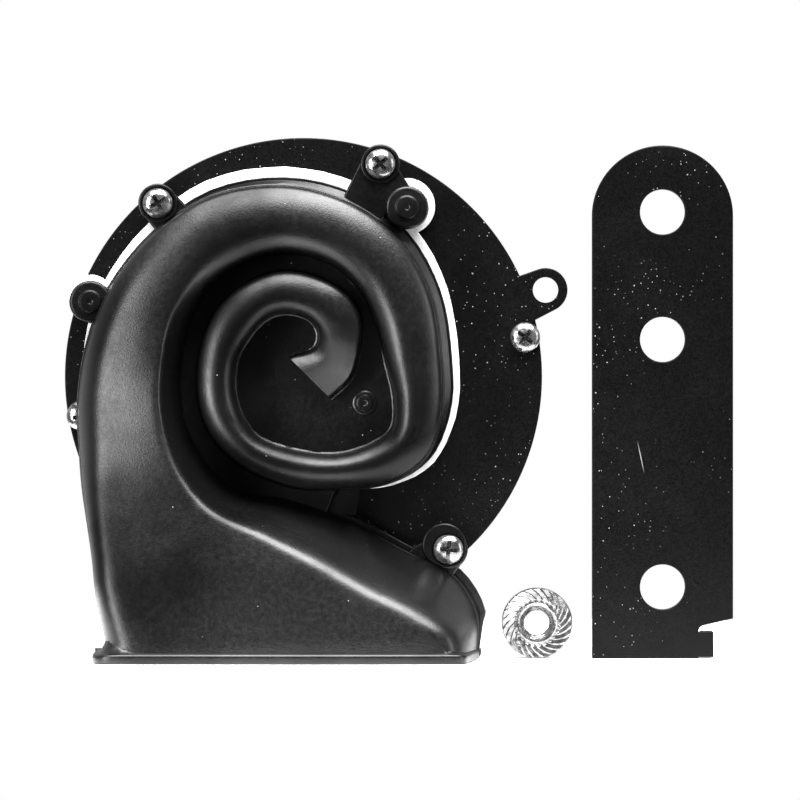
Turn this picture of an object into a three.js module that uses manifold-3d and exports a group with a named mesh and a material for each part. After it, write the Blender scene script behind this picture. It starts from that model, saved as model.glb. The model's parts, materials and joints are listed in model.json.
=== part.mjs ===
// A twelve-volt snail horn with its loose steel bracket and flange nut.
//
// Millimetres, +Z up, +X to the right, +Y towards the back of the horn. The origin is on the axis of
// the mounting stud, on the flat of the driver can that a bracket is clamped against.
import * as THREE from "three";
import { mergeVertices } from "three/addons/utils/BufferGeometryUtils.js";
import Module from "manifold-3d";

const wasm = await Module();
wasm.setup();

// ---------------------------------------------------------------- driving dimensions

const GAP = 0.3; // clearance drawn between pieces that touch

// The mouth, the bracket and the nut all end at this level.
const FLOOR_Z = -56.4;

// Round steel plate, and the circle of six screws through it.
const PLATE_R = 47.7;
const PLATE_T = 1.2;
const PLATE_FRONT_Y = -22.0;
const PLATE_THROAT_R = 11.0;
const BOLT_CIRCLE_R = 45.0;
const BOLT_ANGLES_DEG = [10, 70, 130, 190, 250, 310];
const BOLT_HOLE_R = 1.8;
const TAB_CENTRE = [48.4, 17.3];
const TAB_END_R = 4.4;
const TAB_HOLE_R = 2.55;
const TAB_ROOTS = [[43.4, 19.7], [46.4, 11.6]];

// Snail: flat flange of the front shell, back shell, white gasket, from front to back.
const SEAM_Y = -25.5;
const FLANGE_T = 1.6;
const BACK_SHELL_FRONT_Y = -25.2;
const BACK_SHELL_T = 1.7;
const GASKET_FRONT_Y = -23.2;
const GASKET_T = 0.9;
const GASKET_THROAT_R = 13.0;
const SHELL_WALL = 1.6;
const POCKET_WEB = 0.4;
const LIP_PROUD = 1.0;
const LIP_T = 2.2;
const THROAT = { x: 6.2, z: 3.8, r: 2.8 };

// Lugs under three of the screws, and blind bosses with a round recess.
const LUG_R = 3.8;
const LUG_ANGLES_DEG = [70, 130, 310];
const PLATE_SCREW_ANGLES_DEG = [10, 190, 250];
const LUG_ROOTS = [[12.5, 34.5], [-25.0, 30.0], [25.0, -38.0]];
const LUG_REAR_Y = -23.5;
const BOSS_FRONT_Y = -30.0;
const BOSSES = [
  { x: -42.4, z: 14.9, r: 4.1, recess: 2.1, front: -28.4 },
  { x: 20.7, z: 33.6, r: 4.2, recess: 2.2, front: BOSS_FRONT_Y },
  { x: 12.3, z: -5.3, r: 3.0, recess: 1.8, front: -28.0 },
];
const BOSS_RECESS_DEPTH = 0.8;
const EAR_GASKET_LIFTS = [1.0, 0.4]; // how far the gasket's ears sit above the first two bosses
const EAR_GASKET_PROUD = [0.3, 1.4];

// Pan-head rim screw.
const SCREW_HEAD_R = 3.0;
const SCREW_HEAD_H = 2.4;
const SCREW_SHANK_R = 1.5;
const SCREW_TIP_Y = -14.6;
const RECESS_ARM = 3.4;
const RECESS_WIDTH = 0.7;
const RECESS_DEPTH = 1.2;

// Driver can.
const CAN_FLANGE_R = 47.2;
const CAN_FLANGE_FRONT_Y = -17.9;
const CAN_WALL = 1.2;
const CAN_DRUM_R = 37.8;
const CAN_REAR_Y = -1.6;
const CAN_SEAT_R = 9.0;

// Moving pieces on the axis.
const DIAPHRAGM_Y = -19.5;
const DIAPHRAGM_T = 0.3;
const BOLT_R = 2.0;
const BOLT_CLEAR_R = 2.3;
const ARMATURE_R = 13.0;
const ARMATURE_REAR_Y = -13.9;
const CORE_R = 7.5;
const CORE_FRONT_Y = -13.0;
const STUD_R = 3.0;
const STUD_END_Y = 14.0;

// Breaker stack beside the coil.
const STACK_X = 30.0;
const ARM_T = 0.5;
const ARM_WIDTH = 6.0;
const MOVING_ARM_Y = -13.6;
const FIXED_ARM_Y = -16.4;
const CONTACT_X = 19.0;
const CONTACT_R = 1.8;
const CONTACT_T = 0.8;
const ADJUSTER_X = 23.0;

// Terminals on the back of the can.
const TERMINAL_Z = -25.0;
const TERMINAL_PITCH = 10.0;
const BLADE_WIDTH = 6.3;
const BLADE_T = 0.8;

// Bracket: strap with a round end.
const BRACKET_X = 71.8;
const BRACKET_HALF = 14.1;
const BRACKET_LENGTH = 102.6;
const BRACKET_T = 2.5;
const BRACKET_HOLE_R = 4.5;
const BRACKET_HOLE_HEIGHTS = [14.3, 63.8, 89.3];
const BRACKET_TAB_LENGTH = 7.0;

// Serrated flange nut, M6.
const NUT_X = 46.7;
const NUT_FLANGE_R = 7.1;
const NUT_ACROSS_FLATS = 10.0;
const NUT_HEIGHT = 6.0;
const NUT_BORE_R = 2.6;

const ROUND = 40; // segments of a large circle
const SMALL_ROUND = 16; // segments of a small circle
const TINY_ROUND = 10; // segments of a rivet, pin or bolt hole

// ---------------------------------------------------------------- finishes

function finish(color, roughness, metalness) {
  return new THREE.MeshStandardMaterial({ color, roughness, metalness });
}
const blackPlastic = finish(0x0b0b0c, 0.38, 0.0);
const blackPaint = finish(0x121213, 0.5, 0.3);
const zinc = finish(0xc9ccd0, 0.3, 1.0);
const whiteSeal = finish(0xf2f2ef, 0.7, 0.0);
const greySeal = finish(0x5b5c5e, 0.8, 0.0);
const springSteel = finish(0x9a9c9f, 0.3, 1.0);
const softSteel = finish(0x7d7f82, 0.45, 1.0);
const copper = finish(0xb06a3a, 0.35, 1.0);
const brass = finish(0xc6a350, 0.35, 1.0);
const phenolic = finish(0x5a3a22, 0.6, 0.0);

// ---------------------------------------------------------------- solids

const horn = new THREE.Group();

// A closed three.js geometry as a solid that can be joined and cut, with its faces turned outwards.
function solid(geometry) {
  const bare = geometry.clone();
  bare.deleteAttribute("normal");
  bare.deleteAttribute("uv");
  const merged = mergeVertices(bare, 1e-4);
  const vertProperties = new Float32Array(merged.attributes.position.array);
  const triVerts = new Uint32Array(merged.index.array);
  const body = new wasm.Manifold(new wasm.Mesh({ numProp: 3, vertProperties, triVerts }));
  if (body.volume() > 0) {
    return body;
  }
  return new wasm.Manifold(new wasm.Mesh({ numProp: 3, vertProperties, triVerts: triVerts.reverse() }));
}

function geometryOf(manifold) {
  const mesh = manifold.getMesh();
  const geometry = new THREE.BufferGeometry();
  geometry.setAttribute("position", new THREE.BufferAttribute(mesh.vertProperties, 3));
  geometry.setIndex(new THREE.BufferAttribute(mesh.triVerts, 1));
  return geometry;
}

function add(name, shape, material) {
  const body = shape.isBufferGeometry ? solid(shape) : shape;
  const mesh = new THREE.Mesh(geometryOf(body), material);
  mesh.name = name;
  horn.add(mesh);
}

const joined = (solids) => solids.reduce((whole, next) => whole.add(next));

const cut = (body, tools) => tools.reduce((rest, tool) => rest.subtract(tool), body);

// A shape drawn in X and Z, given thickness along Y.
function plate(shape, frontY, thickness, curveSegments = SMALL_ROUND) {
  const options = { depth: thickness, bevelEnabled: false, curveSegments };
  const geometry = new THREE.ExtrudeGeometry(shape, options);
  return geometry.rotateX(Math.PI / 2).translate(0, frontY + thickness, 0);
}

// A round rod along Y between two Y values.
function rod(x, z, radius, frontY, rearY, segments = SMALL_ROUND) {
  const geometry = new THREE.CylinderGeometry(radius, radius, rearY - frontY, segments);
  return geometry.translate(x, (frontY + rearY) / 2, z);
}

// A profile of [radius, y] pairs turned about an axis along Y.
function turned(profile, segments = ROUND, x = 0, z = 0) {
  const points = profile.map(([radius, y]) => new THREE.Vector2(radius, y));
  if (profile[0][0] > 0) {
    points.push(points[0].clone());
  }
  return new THREE.LatheGeometry(points, segments).translate(x, 0, z);
}

function box(x0, x1, y0, y1, z0, z1) {
  const geometry = new THREE.BoxGeometry(x1 - x0, y1 - y0, z1 - z0);
  return geometry.translate((x0 + x1) / 2, (y0 + y1) / 2, (z0 + z1) / 2);
}

// A hexagonal prism along Y.
function hexagon(x, z, acrossFlats, frontY, rearY) {
  return rod(x, z, acrossFlats / Math.sqrt(3), frontY, rearY, 6);
}

// A ring along Y: a washer, gasket or spacer.
function ring(innerR, outerR, frontY, thickness, segments = ROUND, x = 0, z = 0) {
  const rearY = frontY + thickness;
  return turned([[innerR, frontY], [outerR, frontY], [outerR, rearY], [innerR, rearY]], segments, x, z);
}

const radians = THREE.MathUtils.degToRad;

function onCircle(radius, degrees) {
  return [radius * Math.cos(radians(degrees)), radius * Math.sin(radians(degrees))];
}

// Clearance rods at screw positions, to cut away.
function atScrews(angles, radius, frontY = -80, rearY = 0) {
  return angles.map((degrees) => {
    const [x, z] = onCircle(BOLT_CIRCLE_R, degrees);
    return solid(rod(x, z, radius, frontY, rearY, radius > BOLT_HOLE_R ? SMALL_ROUND : TINY_ROUND));
  });
}

// ---------------------------------------------------------------- spiral channel

// Cross-sections of the channel from its closed inner end to its mouth. Each gives the foot on the
// outer side of the turn, the foot on the inner side, and the height above the seam, with X and Z
// for both feet. The later ones also give the ridge, where the front face turns down to the side.
const SECTIONS = [
  { outer: [5.5, -4.5], inner: [-3.0, 4.0], height: 5.0 },
  { outer: [9.5, -0.5], inner: [2.0, 5.5], height: 7.5 },
  { outer: [11.5, 6.0], inner: [3.0, 8.0], height: 9.5 },
  { outer: [11.5, 12.0], inner: [2.0, 10.5], height: 10.6 },
  { outer: [7.5, 17.5], inner: [-0.5, 12.0], height: 11.0 },
  { outer: [-2.5, 21.0], inner: [-3.5, 12.5], height: 11.2 },
  { outer: [-10.5, 19.0], inner: [-7.0, 11.5], height: 11.3 },
  { outer: [-17.0, 13.5], inner: [-10.5, 8.0], height: 11.4 },
  { outer: [-20.5, 5.0], inner: [-13.0, 3.5], height: 11.5 },
  { outer: [-21.0, -4.0], inner: [-13.5, -2.5], height: 11.6 },
  { outer: [-18.5, -11.5], inner: [-12.0, -8.0], height: 11.7 },
  { outer: [-12.0, -18.0], inner: [-9.0, -12.0], height: 11.8 },
  { outer: [-2.5, -22.0], inner: [-2.5, -14.5], height: 11.8 },
  { outer: [7.5, -22.5], inner: [6.5, -15.5], height: 11.9 },
  { outer: [17.5, -21.0], inner: [13.5, -13.5], height: 12.0 },
  { outer: [24.5, -16.0], inner: [17.5, -10.5], height: 12.1 },
  { outer: [27.5, -7.5], inner: [18.0, -4.5], height: 12.2 },
  { outer: [27.5, 3.5], inner: [16.5, 2.5], height: 12.3 },
  { outer: [25.5, 16.0], inner: [14.5, 10.5], height: 12.4 },
  { outer: [19.5, 27.0], inner: [11.0, 17.5], height: 12.6 },
  { outer: [9.5, 34.5], inner: [5.0, 22.5], height: 12.8 },
  { outer: [-3.5, 38.0], inner: [-3.5, 24.5], height: 13.1 },
  { outer: [-18.0, 36.0], inner: [-11.5, 22.5], height: 13.7 },
  { outer: [-29.7, 28.5], ridge: [-21.5, 21.5], inner: [-18.0, 18.0], height: 14.4 },
  { outer: [-38.6, 17.6], ridge: [-26.0, 12.5], inner: [-22.0, 11.0], height: 15.6 },
  { outer: [-43.1, 6.2], ridge: [-27.5, 4.0], inner: [-24.0, 3.0], height: 17.0 },
  { outer: [-44.8, -5.0], ridge: [-28.0, -4.5], inner: [-24.0, -4.5], height: 18.4 },
  { outer: [-44.4, -14.0], ridge: [-26.5, -13.0], inner: [-22.5, -11.0], height: 19.8 },
  { outer: [-43.8, -22.0], ridge: [-23.0, -20.5], inner: [-18.5, -17.5], height: 21.2 },
  { outer: [-42.8, -29.0], ridge: [-17.5, -26.5], inner: [-12.5, -22.5], height: 22.6 },
  { outer: [-41.8, -36.0], ridge: [-8.0, -31.0], inner: [-2.5, -25.5], height: 23.8 },
  { outer: [-41.2, -42.0], ridge: [3.0, -36.5], inner: [9.5, -28.0], height: 24.8 },
  { outer: [-40.3, -47.0], ridge: [13.0, -42.0], inner: [20.5, -33.7], height: 25.6 },
  { outer: [-39.3, -51.5], ridge: [23.5, -47.0], inner: [30.0, -38.8], height: 26.3 },
  { outer: [-38.8, -54.5], ridge: [29.5, -51.0], inner: [34.8, -47.0], height: 26.8 },
  { outer: [-38.8, -58.5], ridge: [32.0, -58.5], inner: [34.2, -58.5], height: 27.0 },
];
const LAST = SECTIONS.length - 1;
const FIRST_EXPOSED = 13; // from this section on, the turn's outer foot is the snail's outline
const FIRST_RIDGE = 23;
const FULL_RIDGE = 28;
const FIRST_FLARE = 30; // from this section on, the inner foot is part of the outline too
const PROFILE_STEPS = 12;
const SHOULDER_T = 1 / 3; // share of a ridged profile that is its outer wall and shoulder
const RIDGE_T = 3 / 4; // where the ridge lies along the profile
const SHOULDER_SHARE = 0.35;

// How far the flange stands out from the channel's foot, and the gasket from the flange, at places
// counted in sections. The first list follows the outer foot and the second the inner foot.
const OUTER_EDGE = [
  { place: 13, flange: 0.3, gasket: -0.5 },
  { place: 14, flange: 0.3, gasket: 0.5 },
  { place: 15, flange: 0.9, gasket: 1.0 },
  { place: 16.5, flange: 2.2, gasket: 1.3 },
  { place: 18, flange: 2.2, gasket: 1.4 },
  { place: 20, flange: 2.2, gasket: 2.1 },
  { place: 22, flange: 1.3, gasket: 2.1 },
  { place: 23, flange: 0.6, gasket: 1.8 },
  { place: 24.5, flange: 0.4, gasket: 1.0 },
  { place: 25.5, flange: 0.4, gasket: -0.5 },
  { place: 35, flange: 0.4, gasket: -0.5 },
];
const INNER_EDGE = [
  { place: 30, flange: 0.4, gasket: -0.5 },
  { place: 32.3, flange: 0.4, gasket: -0.5 },
  { place: 33, flange: 1.5, gasket: -0.5 },
  { place: 34, flange: 1.6, gasket: -0.5 },
  { place: 34.3, flange: 0.6, gasket: -0.5 },
  { place: 35, flange: 0.4, gasket: -0.5 },
];

function edgeWidth(stops, place, gasketShare) {
  const next = Math.max(1, stops.findIndex((stop) => stop.place >= place));
  const [a, b] = [stops[next - 1], stops[next]];
  const t = (place - a.place) / (b.place - a.place);
  const width = (stop) => stop.flange + gasketShare * stop.gasket;
  return THREE.MathUtils.lerp(width(a), width(b), t);
}

const curveThrough = (points) => new THREE.CatmullRomCurve3(points, false, "centripetal");
const outerCurve = curveThrough(SECTIONS.map(({ outer: [x, z] }) => new THREE.Vector3(x, 0, z)));
const innerCurve = curveThrough(SECTIONS.map(({ inner: [x, z] }) => new THREE.Vector3(x, 0, z)));
// The ridge curve carries each section's height as its Y value.
const ridgeCurve = curveThrough(
  SECTIONS.map(({ outer, inner, ridge, height }) => {
    const [x, z] = ridge ?? [(outer[0] + inner[0]) / 2, (outer[1] + inner[1]) / 2];
    return new THREE.Vector3(x, height, z);
  }),
);

// The channel's cross-section at a place along it, drawn in by a wall thickness.
function sectionAt(place, wall) {
  const share = place / LAST;
  const outer = outerCurve.getPoint(share);
  const inner = innerCurve.getPoint(share);
  const ridge = ridgeCurve.getPoint(share);
  const across = inner.clone().sub(outer).normalize().multiplyScalar(wall);
  const height = ridge.y - wall;
  ridge.y = 0;
  outer.add(across);
  inner.sub(across);
  ridge.sub(across.multiplyScalar(0.5));
  const ridged = THREE.MathUtils.smoothstep(place, FIRST_RIDGE - 1, FULL_RIDGE);
  return { outer, inner, ridge, height, ridged };
}

// A point on a section, t running from its outer foot to its inner foot. Y holds the height.
function profilePoint({ outer, inner, ridge, height, ridged }, t) {
  const angle = Math.PI * t;
  const domed = outer.clone().lerp(inner, (1 - Math.cos(angle)) / 2);
  domed.y = height * Math.sin(angle) ** 0.8;
  const edged = outer.clone();
  if (t < SHOULDER_T) {
    const turn = (Math.PI / 2) * (t / SHOULDER_T);
    edged.lerp(ridge, SHOULDER_SHARE * (1 - Math.cos(turn)));
    edged.y = height * Math.sin(turn) ** 0.8;
  } else if (t < RIDGE_T) {
    const along = (t - SHOULDER_T) / (RIDGE_T - SHOULDER_T);
    edged.lerp(ridge, SHOULDER_SHARE + (1 - SHOULDER_SHARE) * along);
    edged.y = height;
  } else {
    const down = (t - RIDGE_T) / (1 - RIDGE_T);
    edged.copy(ridge).lerp(inner, down);
    edged.y = height * (1 - down);
  }
  return domed.lerp(edged, ridged);
}

// A closed body along the spiral: a capped cylinder whose rings are laid on the sections.
function spiralBody(firstPlace, wall, baseHeight, stepsPerSection) {
  const rings = Math.round((LAST - firstPlace) * stepsPerSection);
  const sides = PROFILE_STEPS + 1;
  const geometry = new THREE.CylinderGeometry(1, 1, rings, sides, rings);
  const position = geometry.attributes.position;
  for (let i = 0; i < position.count; i += 1) {
    const x = position.getX(i);
    const z = position.getZ(i);
    const ringIndex = Math.round(position.getY(i) + rings / 2);
    const section = sectionAt(firstPlace + ((LAST - firstPlace) * ringIndex) / rings, wall);
    let point = section.outer.clone().lerp(section.inner, 0.5);
    point.y = Math.max(section.height / 2, baseHeight);
    if (Math.hypot(x, z) > 0.5) {
      const side = Math.round((Math.atan2(x, z) / (2 * Math.PI)) * sides + sides) % sides;
      point = profilePoint(section, side / PROFILE_STEPS);
      point.y = side === 0 || side === PROFILE_STEPS ? baseHeight : Math.max(point.y, baseHeight);
    }
    position.setXYZ(i, point.x, SEAM_Y - point.y, point.z);
  }
  return solid(geometry);
}

// The snail's outline in X and Z: the flange's edge, or with a gasket share of 1 the gasket's.
function outlineShape(gasketShare) {
  const points = [];
  const steps = 2;
  for (let i = FIRST_EXPOSED * steps; i <= LAST * steps; i += 1) {
    const { outer, inner } = sectionAt(i / steps, 0);
    const away = outer.clone().sub(inner).normalize();
    points.push(outer.addScaledVector(away, edgeWidth(OUTER_EDGE, i / steps, gasketShare)));
  }
  for (let i = LAST * steps; i >= FIRST_FLARE * steps; i -= 1) {
    const { outer, inner } = sectionAt(i / steps, 0);
    const away = inner.clone().sub(outer).normalize();
    points.push(inner.addScaledVector(away, edgeWidth(INNER_EDGE, i / steps, gasketShare)));
  }
  return new THREE.Shape(points.map(({ x, z }) => new THREE.Vector2(x, z)));
}

// Everything below the mouth, to be cut away.
const belowMouth = solid(box(-100, 100, -100, 20, FLOOR_Z - 40, FLOOR_Z));

// A round-ended bar in X and Z.
function capsule(x0, z0, x1, z1, radius) {
  const heading = Math.atan2(z1 - z0, x1 - x0);
  const shape = new THREE.Shape();
  shape.absarc(x0, z0, radius, heading + Math.PI / 2, heading + (3 * Math.PI) / 2, false);
  shape.absarc(x1, z1, radius, heading - Math.PI / 2, heading + Math.PI / 2, false);
  return shape;
}

function outlineBody(gasketShare, frontY, thickness) {
  const ears = BOSSES.slice(0, 2).map(({ x, z, r }, i) => {
    const lift = gasketShare * EAR_GASKET_LIFTS[i];
    return solid(rod(x, z + lift, r + gasketShare * EAR_GASKET_PROUD[i], frontY, frontY + thickness));
  });
  return joined([solid(plate(outlineShape(gasketShare), frontY, thickness)), ...ears]).subtract(belowMouth);
}

// The bead round the mouth: the mouth's section, a little larger, just above the floor.
function lipBody() {
  const mouth = sectionAt(LAST - 0.25, 0);
  const middle = (mouth.outer.x + mouth.inner.x) / 2;
  const half = (mouth.inner.x - mouth.outer.x) / 2;
  const steps = 24;
  const shape = new THREE.Shape();
  for (let i = 0; i <= steps; i += 1) {
    const { x, y } = profilePoint(mouth, i / steps);
    const wide = middle + ((x - middle) * (half + LIP_PROUD)) / half;
    const tall = Math.max((y * (mouth.height + LIP_PROUD)) / mouth.height, 0);
    if (i === 0) {
      shape.moveTo(wide, -SEAM_Y + tall);
    } else {
      shape.lineTo(wide, -SEAM_Y + tall);
    }
  }
  const geometry = new THREE.ExtrudeGeometry(shape, { depth: LIP_T, bevelEnabled: false });
  geometry.applyMatrix4(new THREE.Matrix4().makeScale(1, -1, -1));
  return solid(geometry.translate(0, 0, FLOOR_Z + LIP_T));
}

function makeSnail() {
  const lugs = LUG_ANGLES_DEG.map((degrees, i) => {
    const [x, z] = onCircle(BOLT_CIRCLE_R, degrees);
    const [rootX, rootZ] = LUG_ROOTS[i];
    const arm = plate(capsule(rootX, rootZ, x, z, LUG_R), SEAM_Y - FLANGE_T, FLANGE_T);
    return solid(arm).add(solid(rod(x, z, LUG_R, SEAM_Y - FLANGE_T, LUG_REAR_Y)));
  });
  const bosses = BOSSES.map(({ x, z, r, front: bossFront }) => solid(rod(x, z, r, bossFront, SEAM_Y)));
  const recesses = BOSSES.map(({ x, z, recess, front: bossFront }) => {
    return solid(rod(x, z, recess, bossFront - 1, bossFront + BOSS_RECESS_DEPTH));
  });
  const pilotHoles = BOSSES.map(({ x, z, front: bossFront }) => {
    return solid(rod(x, z, 1.3, bossFront + 1.6, 0, TINY_ROUND));
  });
  const [armX, armZ] = onCircle(BOLT_CIRCLE_R, LUG_ANGLES_DEG[0]);
  const link = capsule(armX, armZ, BOSSES[1].x, BOSSES[1].z, 2.6);
  const lugLink = solid(plate(link, SEAM_Y - FLANGE_T, FLANGE_T));
  const body = joined([
    outlineBody(0, SEAM_Y - FLANGE_T, FLANGE_T),
    spiralBody(0, 0, 0.6, 2),
    ...lugs,
    lugLink,
    ...bosses,
  ]).subtract(belowMouth);
  const channel = spiralBody(1, SHELL_WALL, -2, 1);
  const front = cut(body.add(lipBody()), [
    channel,
    ...recesses,
    ...pilotHoles,
    ...atScrews(LUG_ANGLES_DEG, BOLT_HOLE_R),
    ...atScrews(LUG_ANGLES_DEG, SCREW_HEAD_R + GAP, -80, SEAM_Y - FLANGE_T),
  ]);
  add("front_shell", front, blackPlastic);

  // Blind pockets leave a thin web over the heads of the screws that sit on the plate itself.
  const lugRoom = atScrews(LUG_ANGLES_DEG, LUG_R + GAP);
  const headPockets = atScrews(PLATE_SCREW_ANGLES_DEG, SCREW_HEAD_R + GAP, BACK_SHELL_FRONT_Y + POCKET_WEB);
  const rearY = BACK_SHELL_FRONT_Y + BACK_SHELL_T;
  const screwSinks = BOSSES.map(({ x, z }) => {
    const profile = [[0, -5], [1.5, -5], [1.5, -1.4], [2.9, 0], [2.9, 1], [0, 1]];
    return solid(turned(profile, TINY_ROUND, x, z).translate(0, rearY, 0));
  });
  const throat = solid(rod(THROAT.x, THROAT.z, THROAT.r, -40, 0));
  const mouth = sectionAt(LAST - 0.25, 0);
  const rearLip = solid(
    box(
      mouth.outer.x - LIP_PROUD,
      mouth.inner.x + LIP_PROUD,
      BACK_SHELL_FRONT_Y,
      BACK_SHELL_FRONT_Y + BACK_SHELL_T + LIP_PROUD,
      FLOOR_Z,
      FLOOR_Z + LIP_T,
    ),
  );
  const back = cut(outlineBody(0, BACK_SHELL_FRONT_Y, BACK_SHELL_T).add(rearLip), [
    ...lugRoom,
    ...headPockets,
    ...screwSinks,
    throat,
  ]);
  add("back_shell", back, blackPlastic);

  BOSSES.forEach(({ x, z, front: bossFront }, i) => {
    const sunk = rearY - 0.1;
    const profile = [[0, bossFront + 2], [1.0, bossFront + 2], [1.0, sunk - 1.3], [2.4, sunk], [0, sunk]];
    add(`shell_screw_${i + 1}`, turned(profile, TINY_ROUND, x, z), zinc);
  });

  // The gasket covers the snail's outline down to just past the plate's edge.
  const onPlate = solid(rod(0, 0, PLATE_R + 2.5, GASKET_FRONT_Y - 1, 0, ROUND));
  const gasket = cut(outlineBody(1, GASKET_FRONT_Y, GASKET_T).intersect(onPlate), [
    solid(rod(0, 0, GASKET_THROAT_R, -40, 0, 32)),
    ...atScrews(LUG_ANGLES_DEG, BOLT_HOLE_R),
    ...atScrews(PLATE_SCREW_ANGLES_DEG, SCREW_HEAD_R + GAP),
    solid(box(-60, 60, -30, -10, FLOOR_Z - 5, FLOOR_Z + LIP_T + GAP)),
  ]);
  add("horn_gasket", gasket, whiteSeal);
}

// ---------------------------------------------------------------- plate and rim

function makeFrontPlate() {
  const [tabX, tabZ] = TAB_CENTRE;
  const heading = Math.atan2(tabZ, tabX);
  const tab = new THREE.Shape();
  tab.moveTo(TAB_ROOTS[1][0] * 0.93, TAB_ROOTS[1][1] * 0.93);
  tab.lineTo(...TAB_ROOTS[1]);
  tab.absarc(tabX, tabZ, TAB_END_R, heading - Math.PI / 2, heading + Math.PI / 2, false);
  tab.lineTo(...TAB_ROOTS[0]);
  tab.lineTo(TAB_ROOTS[0][0] * 0.93, TAB_ROOTS[0][1] * 0.93);
  const rearY = PLATE_FRONT_Y + PLATE_T;
  const round = solid(rod(0, 0, PLATE_R, PLATE_FRONT_Y, rearY, 72));
  const disc = round.add(solid(plate(tab, PLATE_FRONT_Y, PLATE_T)));
  const holes = [
    solid(rod(tabX, tabZ, TAB_HOLE_R, -40, 0)),
    solid(rod(0, 0, PLATE_THROAT_R, -40, 0, 32)),
    ...atScrews(BOLT_ANGLES_DEG, BOLT_HOLE_R),
  ];
  add("front_plate", cut(disc, holes), blackPaint);
}

function makeRim() {
  const holes = atScrews(BOLT_ANGLES_DEG, BOLT_HOLE_R);
  const gasketT = 0.5;
  const frontSeal = solid(ring(38.2, 47.0, PLATE_FRONT_Y + PLATE_T + 0.2, gasketT));
  const rearSeal = solid(ring(38.2, 47.0, CAN_FLANGE_FRONT_Y - 0.2 - gasketT, gasketT));
  add("rim_gasket_front", cut(frontSeal, holes), greySeal);
  add("rim_gasket_rear", cut(rearSeal, holes), greySeal);
}

// A cross recess in a screw's head, as the body to cut away.
function crossRecess(x, z, headY, degrees) {
  const arms = [0, 90].map((extra) => {
    const [half, side] = [RECESS_ARM / 2, RECESS_WIDTH / 2];
    const arm = box(-half, half, headY - 1, headY + RECESS_DEPTH, -side, side);
    return solid(arm.rotateY(radians(degrees + extra)).translate(x, 0, z));
  });
  return arms[0].add(arms[1]);
}

function makeRimScrews() {
  BOLT_ANGLES_DEG.forEach((degrees, i) => {
    const [x, z] = onCircle(BOLT_CIRCLE_R, degrees);
    const onLug = LUG_ANGLES_DEG.includes(degrees);
    const seatY = (onLug ? SEAM_Y - FLANGE_T : PLATE_FRONT_Y) - 0.2;
    const top = seatY - SCREW_HEAD_H;
    const profile = [
      [0, top],
      [1.6, top + 0.15],
      [2.5, top + 0.7],
      [SCREW_HEAD_R, top + 1.6],
      [SCREW_HEAD_R, seatY],
      [SCREW_SHANK_R, seatY],
      [SCREW_SHANK_R, SCREW_TIP_Y - 0.8],
      [0.9, SCREW_TIP_Y],
      [0, SCREW_TIP_Y],
    ];
    const body = solid(turned(profile, SMALL_ROUND, x, z));
    add(`rim_screw_${i + 1}`, body.subtract(crossRecess(x, z, top, degrees + 20)), zinc);
  });
}

// ---------------------------------------------------------------- driver

function makeDriverCan() {
  const inner = CAN_DRUM_R - CAN_WALL;
  const flangeRear = CAN_FLANGE_FRONT_Y + CAN_WALL;
  const profile = [
    [STUD_R + GAP, 0],
    [CAN_SEAT_R, 0],
    [CAN_SEAT_R + 1.5, CAN_REAR_Y],
    [CAN_DRUM_R - 3.6, CAN_REAR_Y],
    [CAN_DRUM_R - 1.1, CAN_REAR_Y - 1.1],
    [CAN_DRUM_R, CAN_REAR_Y - 3.6],
    [CAN_DRUM_R, flangeRear],
    [CAN_FLANGE_R, flangeRear],
    [CAN_FLANGE_R, CAN_FLANGE_FRONT_Y],
    [inner, CAN_FLANGE_FRONT_Y],
    [inner, CAN_REAR_Y - 3.9],
    [inner - 1.0, CAN_REAR_Y - 2.1],
    [inner - 2.8, CAN_REAR_Y - CAN_WALL],
    [CAN_SEAT_R + 0.9, CAN_REAR_Y - CAN_WALL],
    [CAN_SEAT_R - 0.6, -CAN_WALL],
    [STUD_R + GAP, -CAN_WALL],
  ];
  const holes = [
    solid(rod(STACK_X, 0, 1.8, -10, 5, TINY_ROUND)),
    solid(rod(ADJUSTER_X, 0, 2.4, -10, 5, TINY_ROUND)),
    solid(rod(-TERMINAL_PITCH / 2, TERMINAL_Z, 1.8, -10, 5, TINY_ROUND)),
    solid(rod(TERMINAL_PITCH / 2, TERMINAL_Z, 1.8, -10, 5, TINY_ROUND)),
    ...atScrews(BOLT_ANGLES_DEG, BOLT_HOLE_R),
  ];
  add("driver_can", cut(solid(turned(profile)), holes), blackPaint);
}

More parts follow.
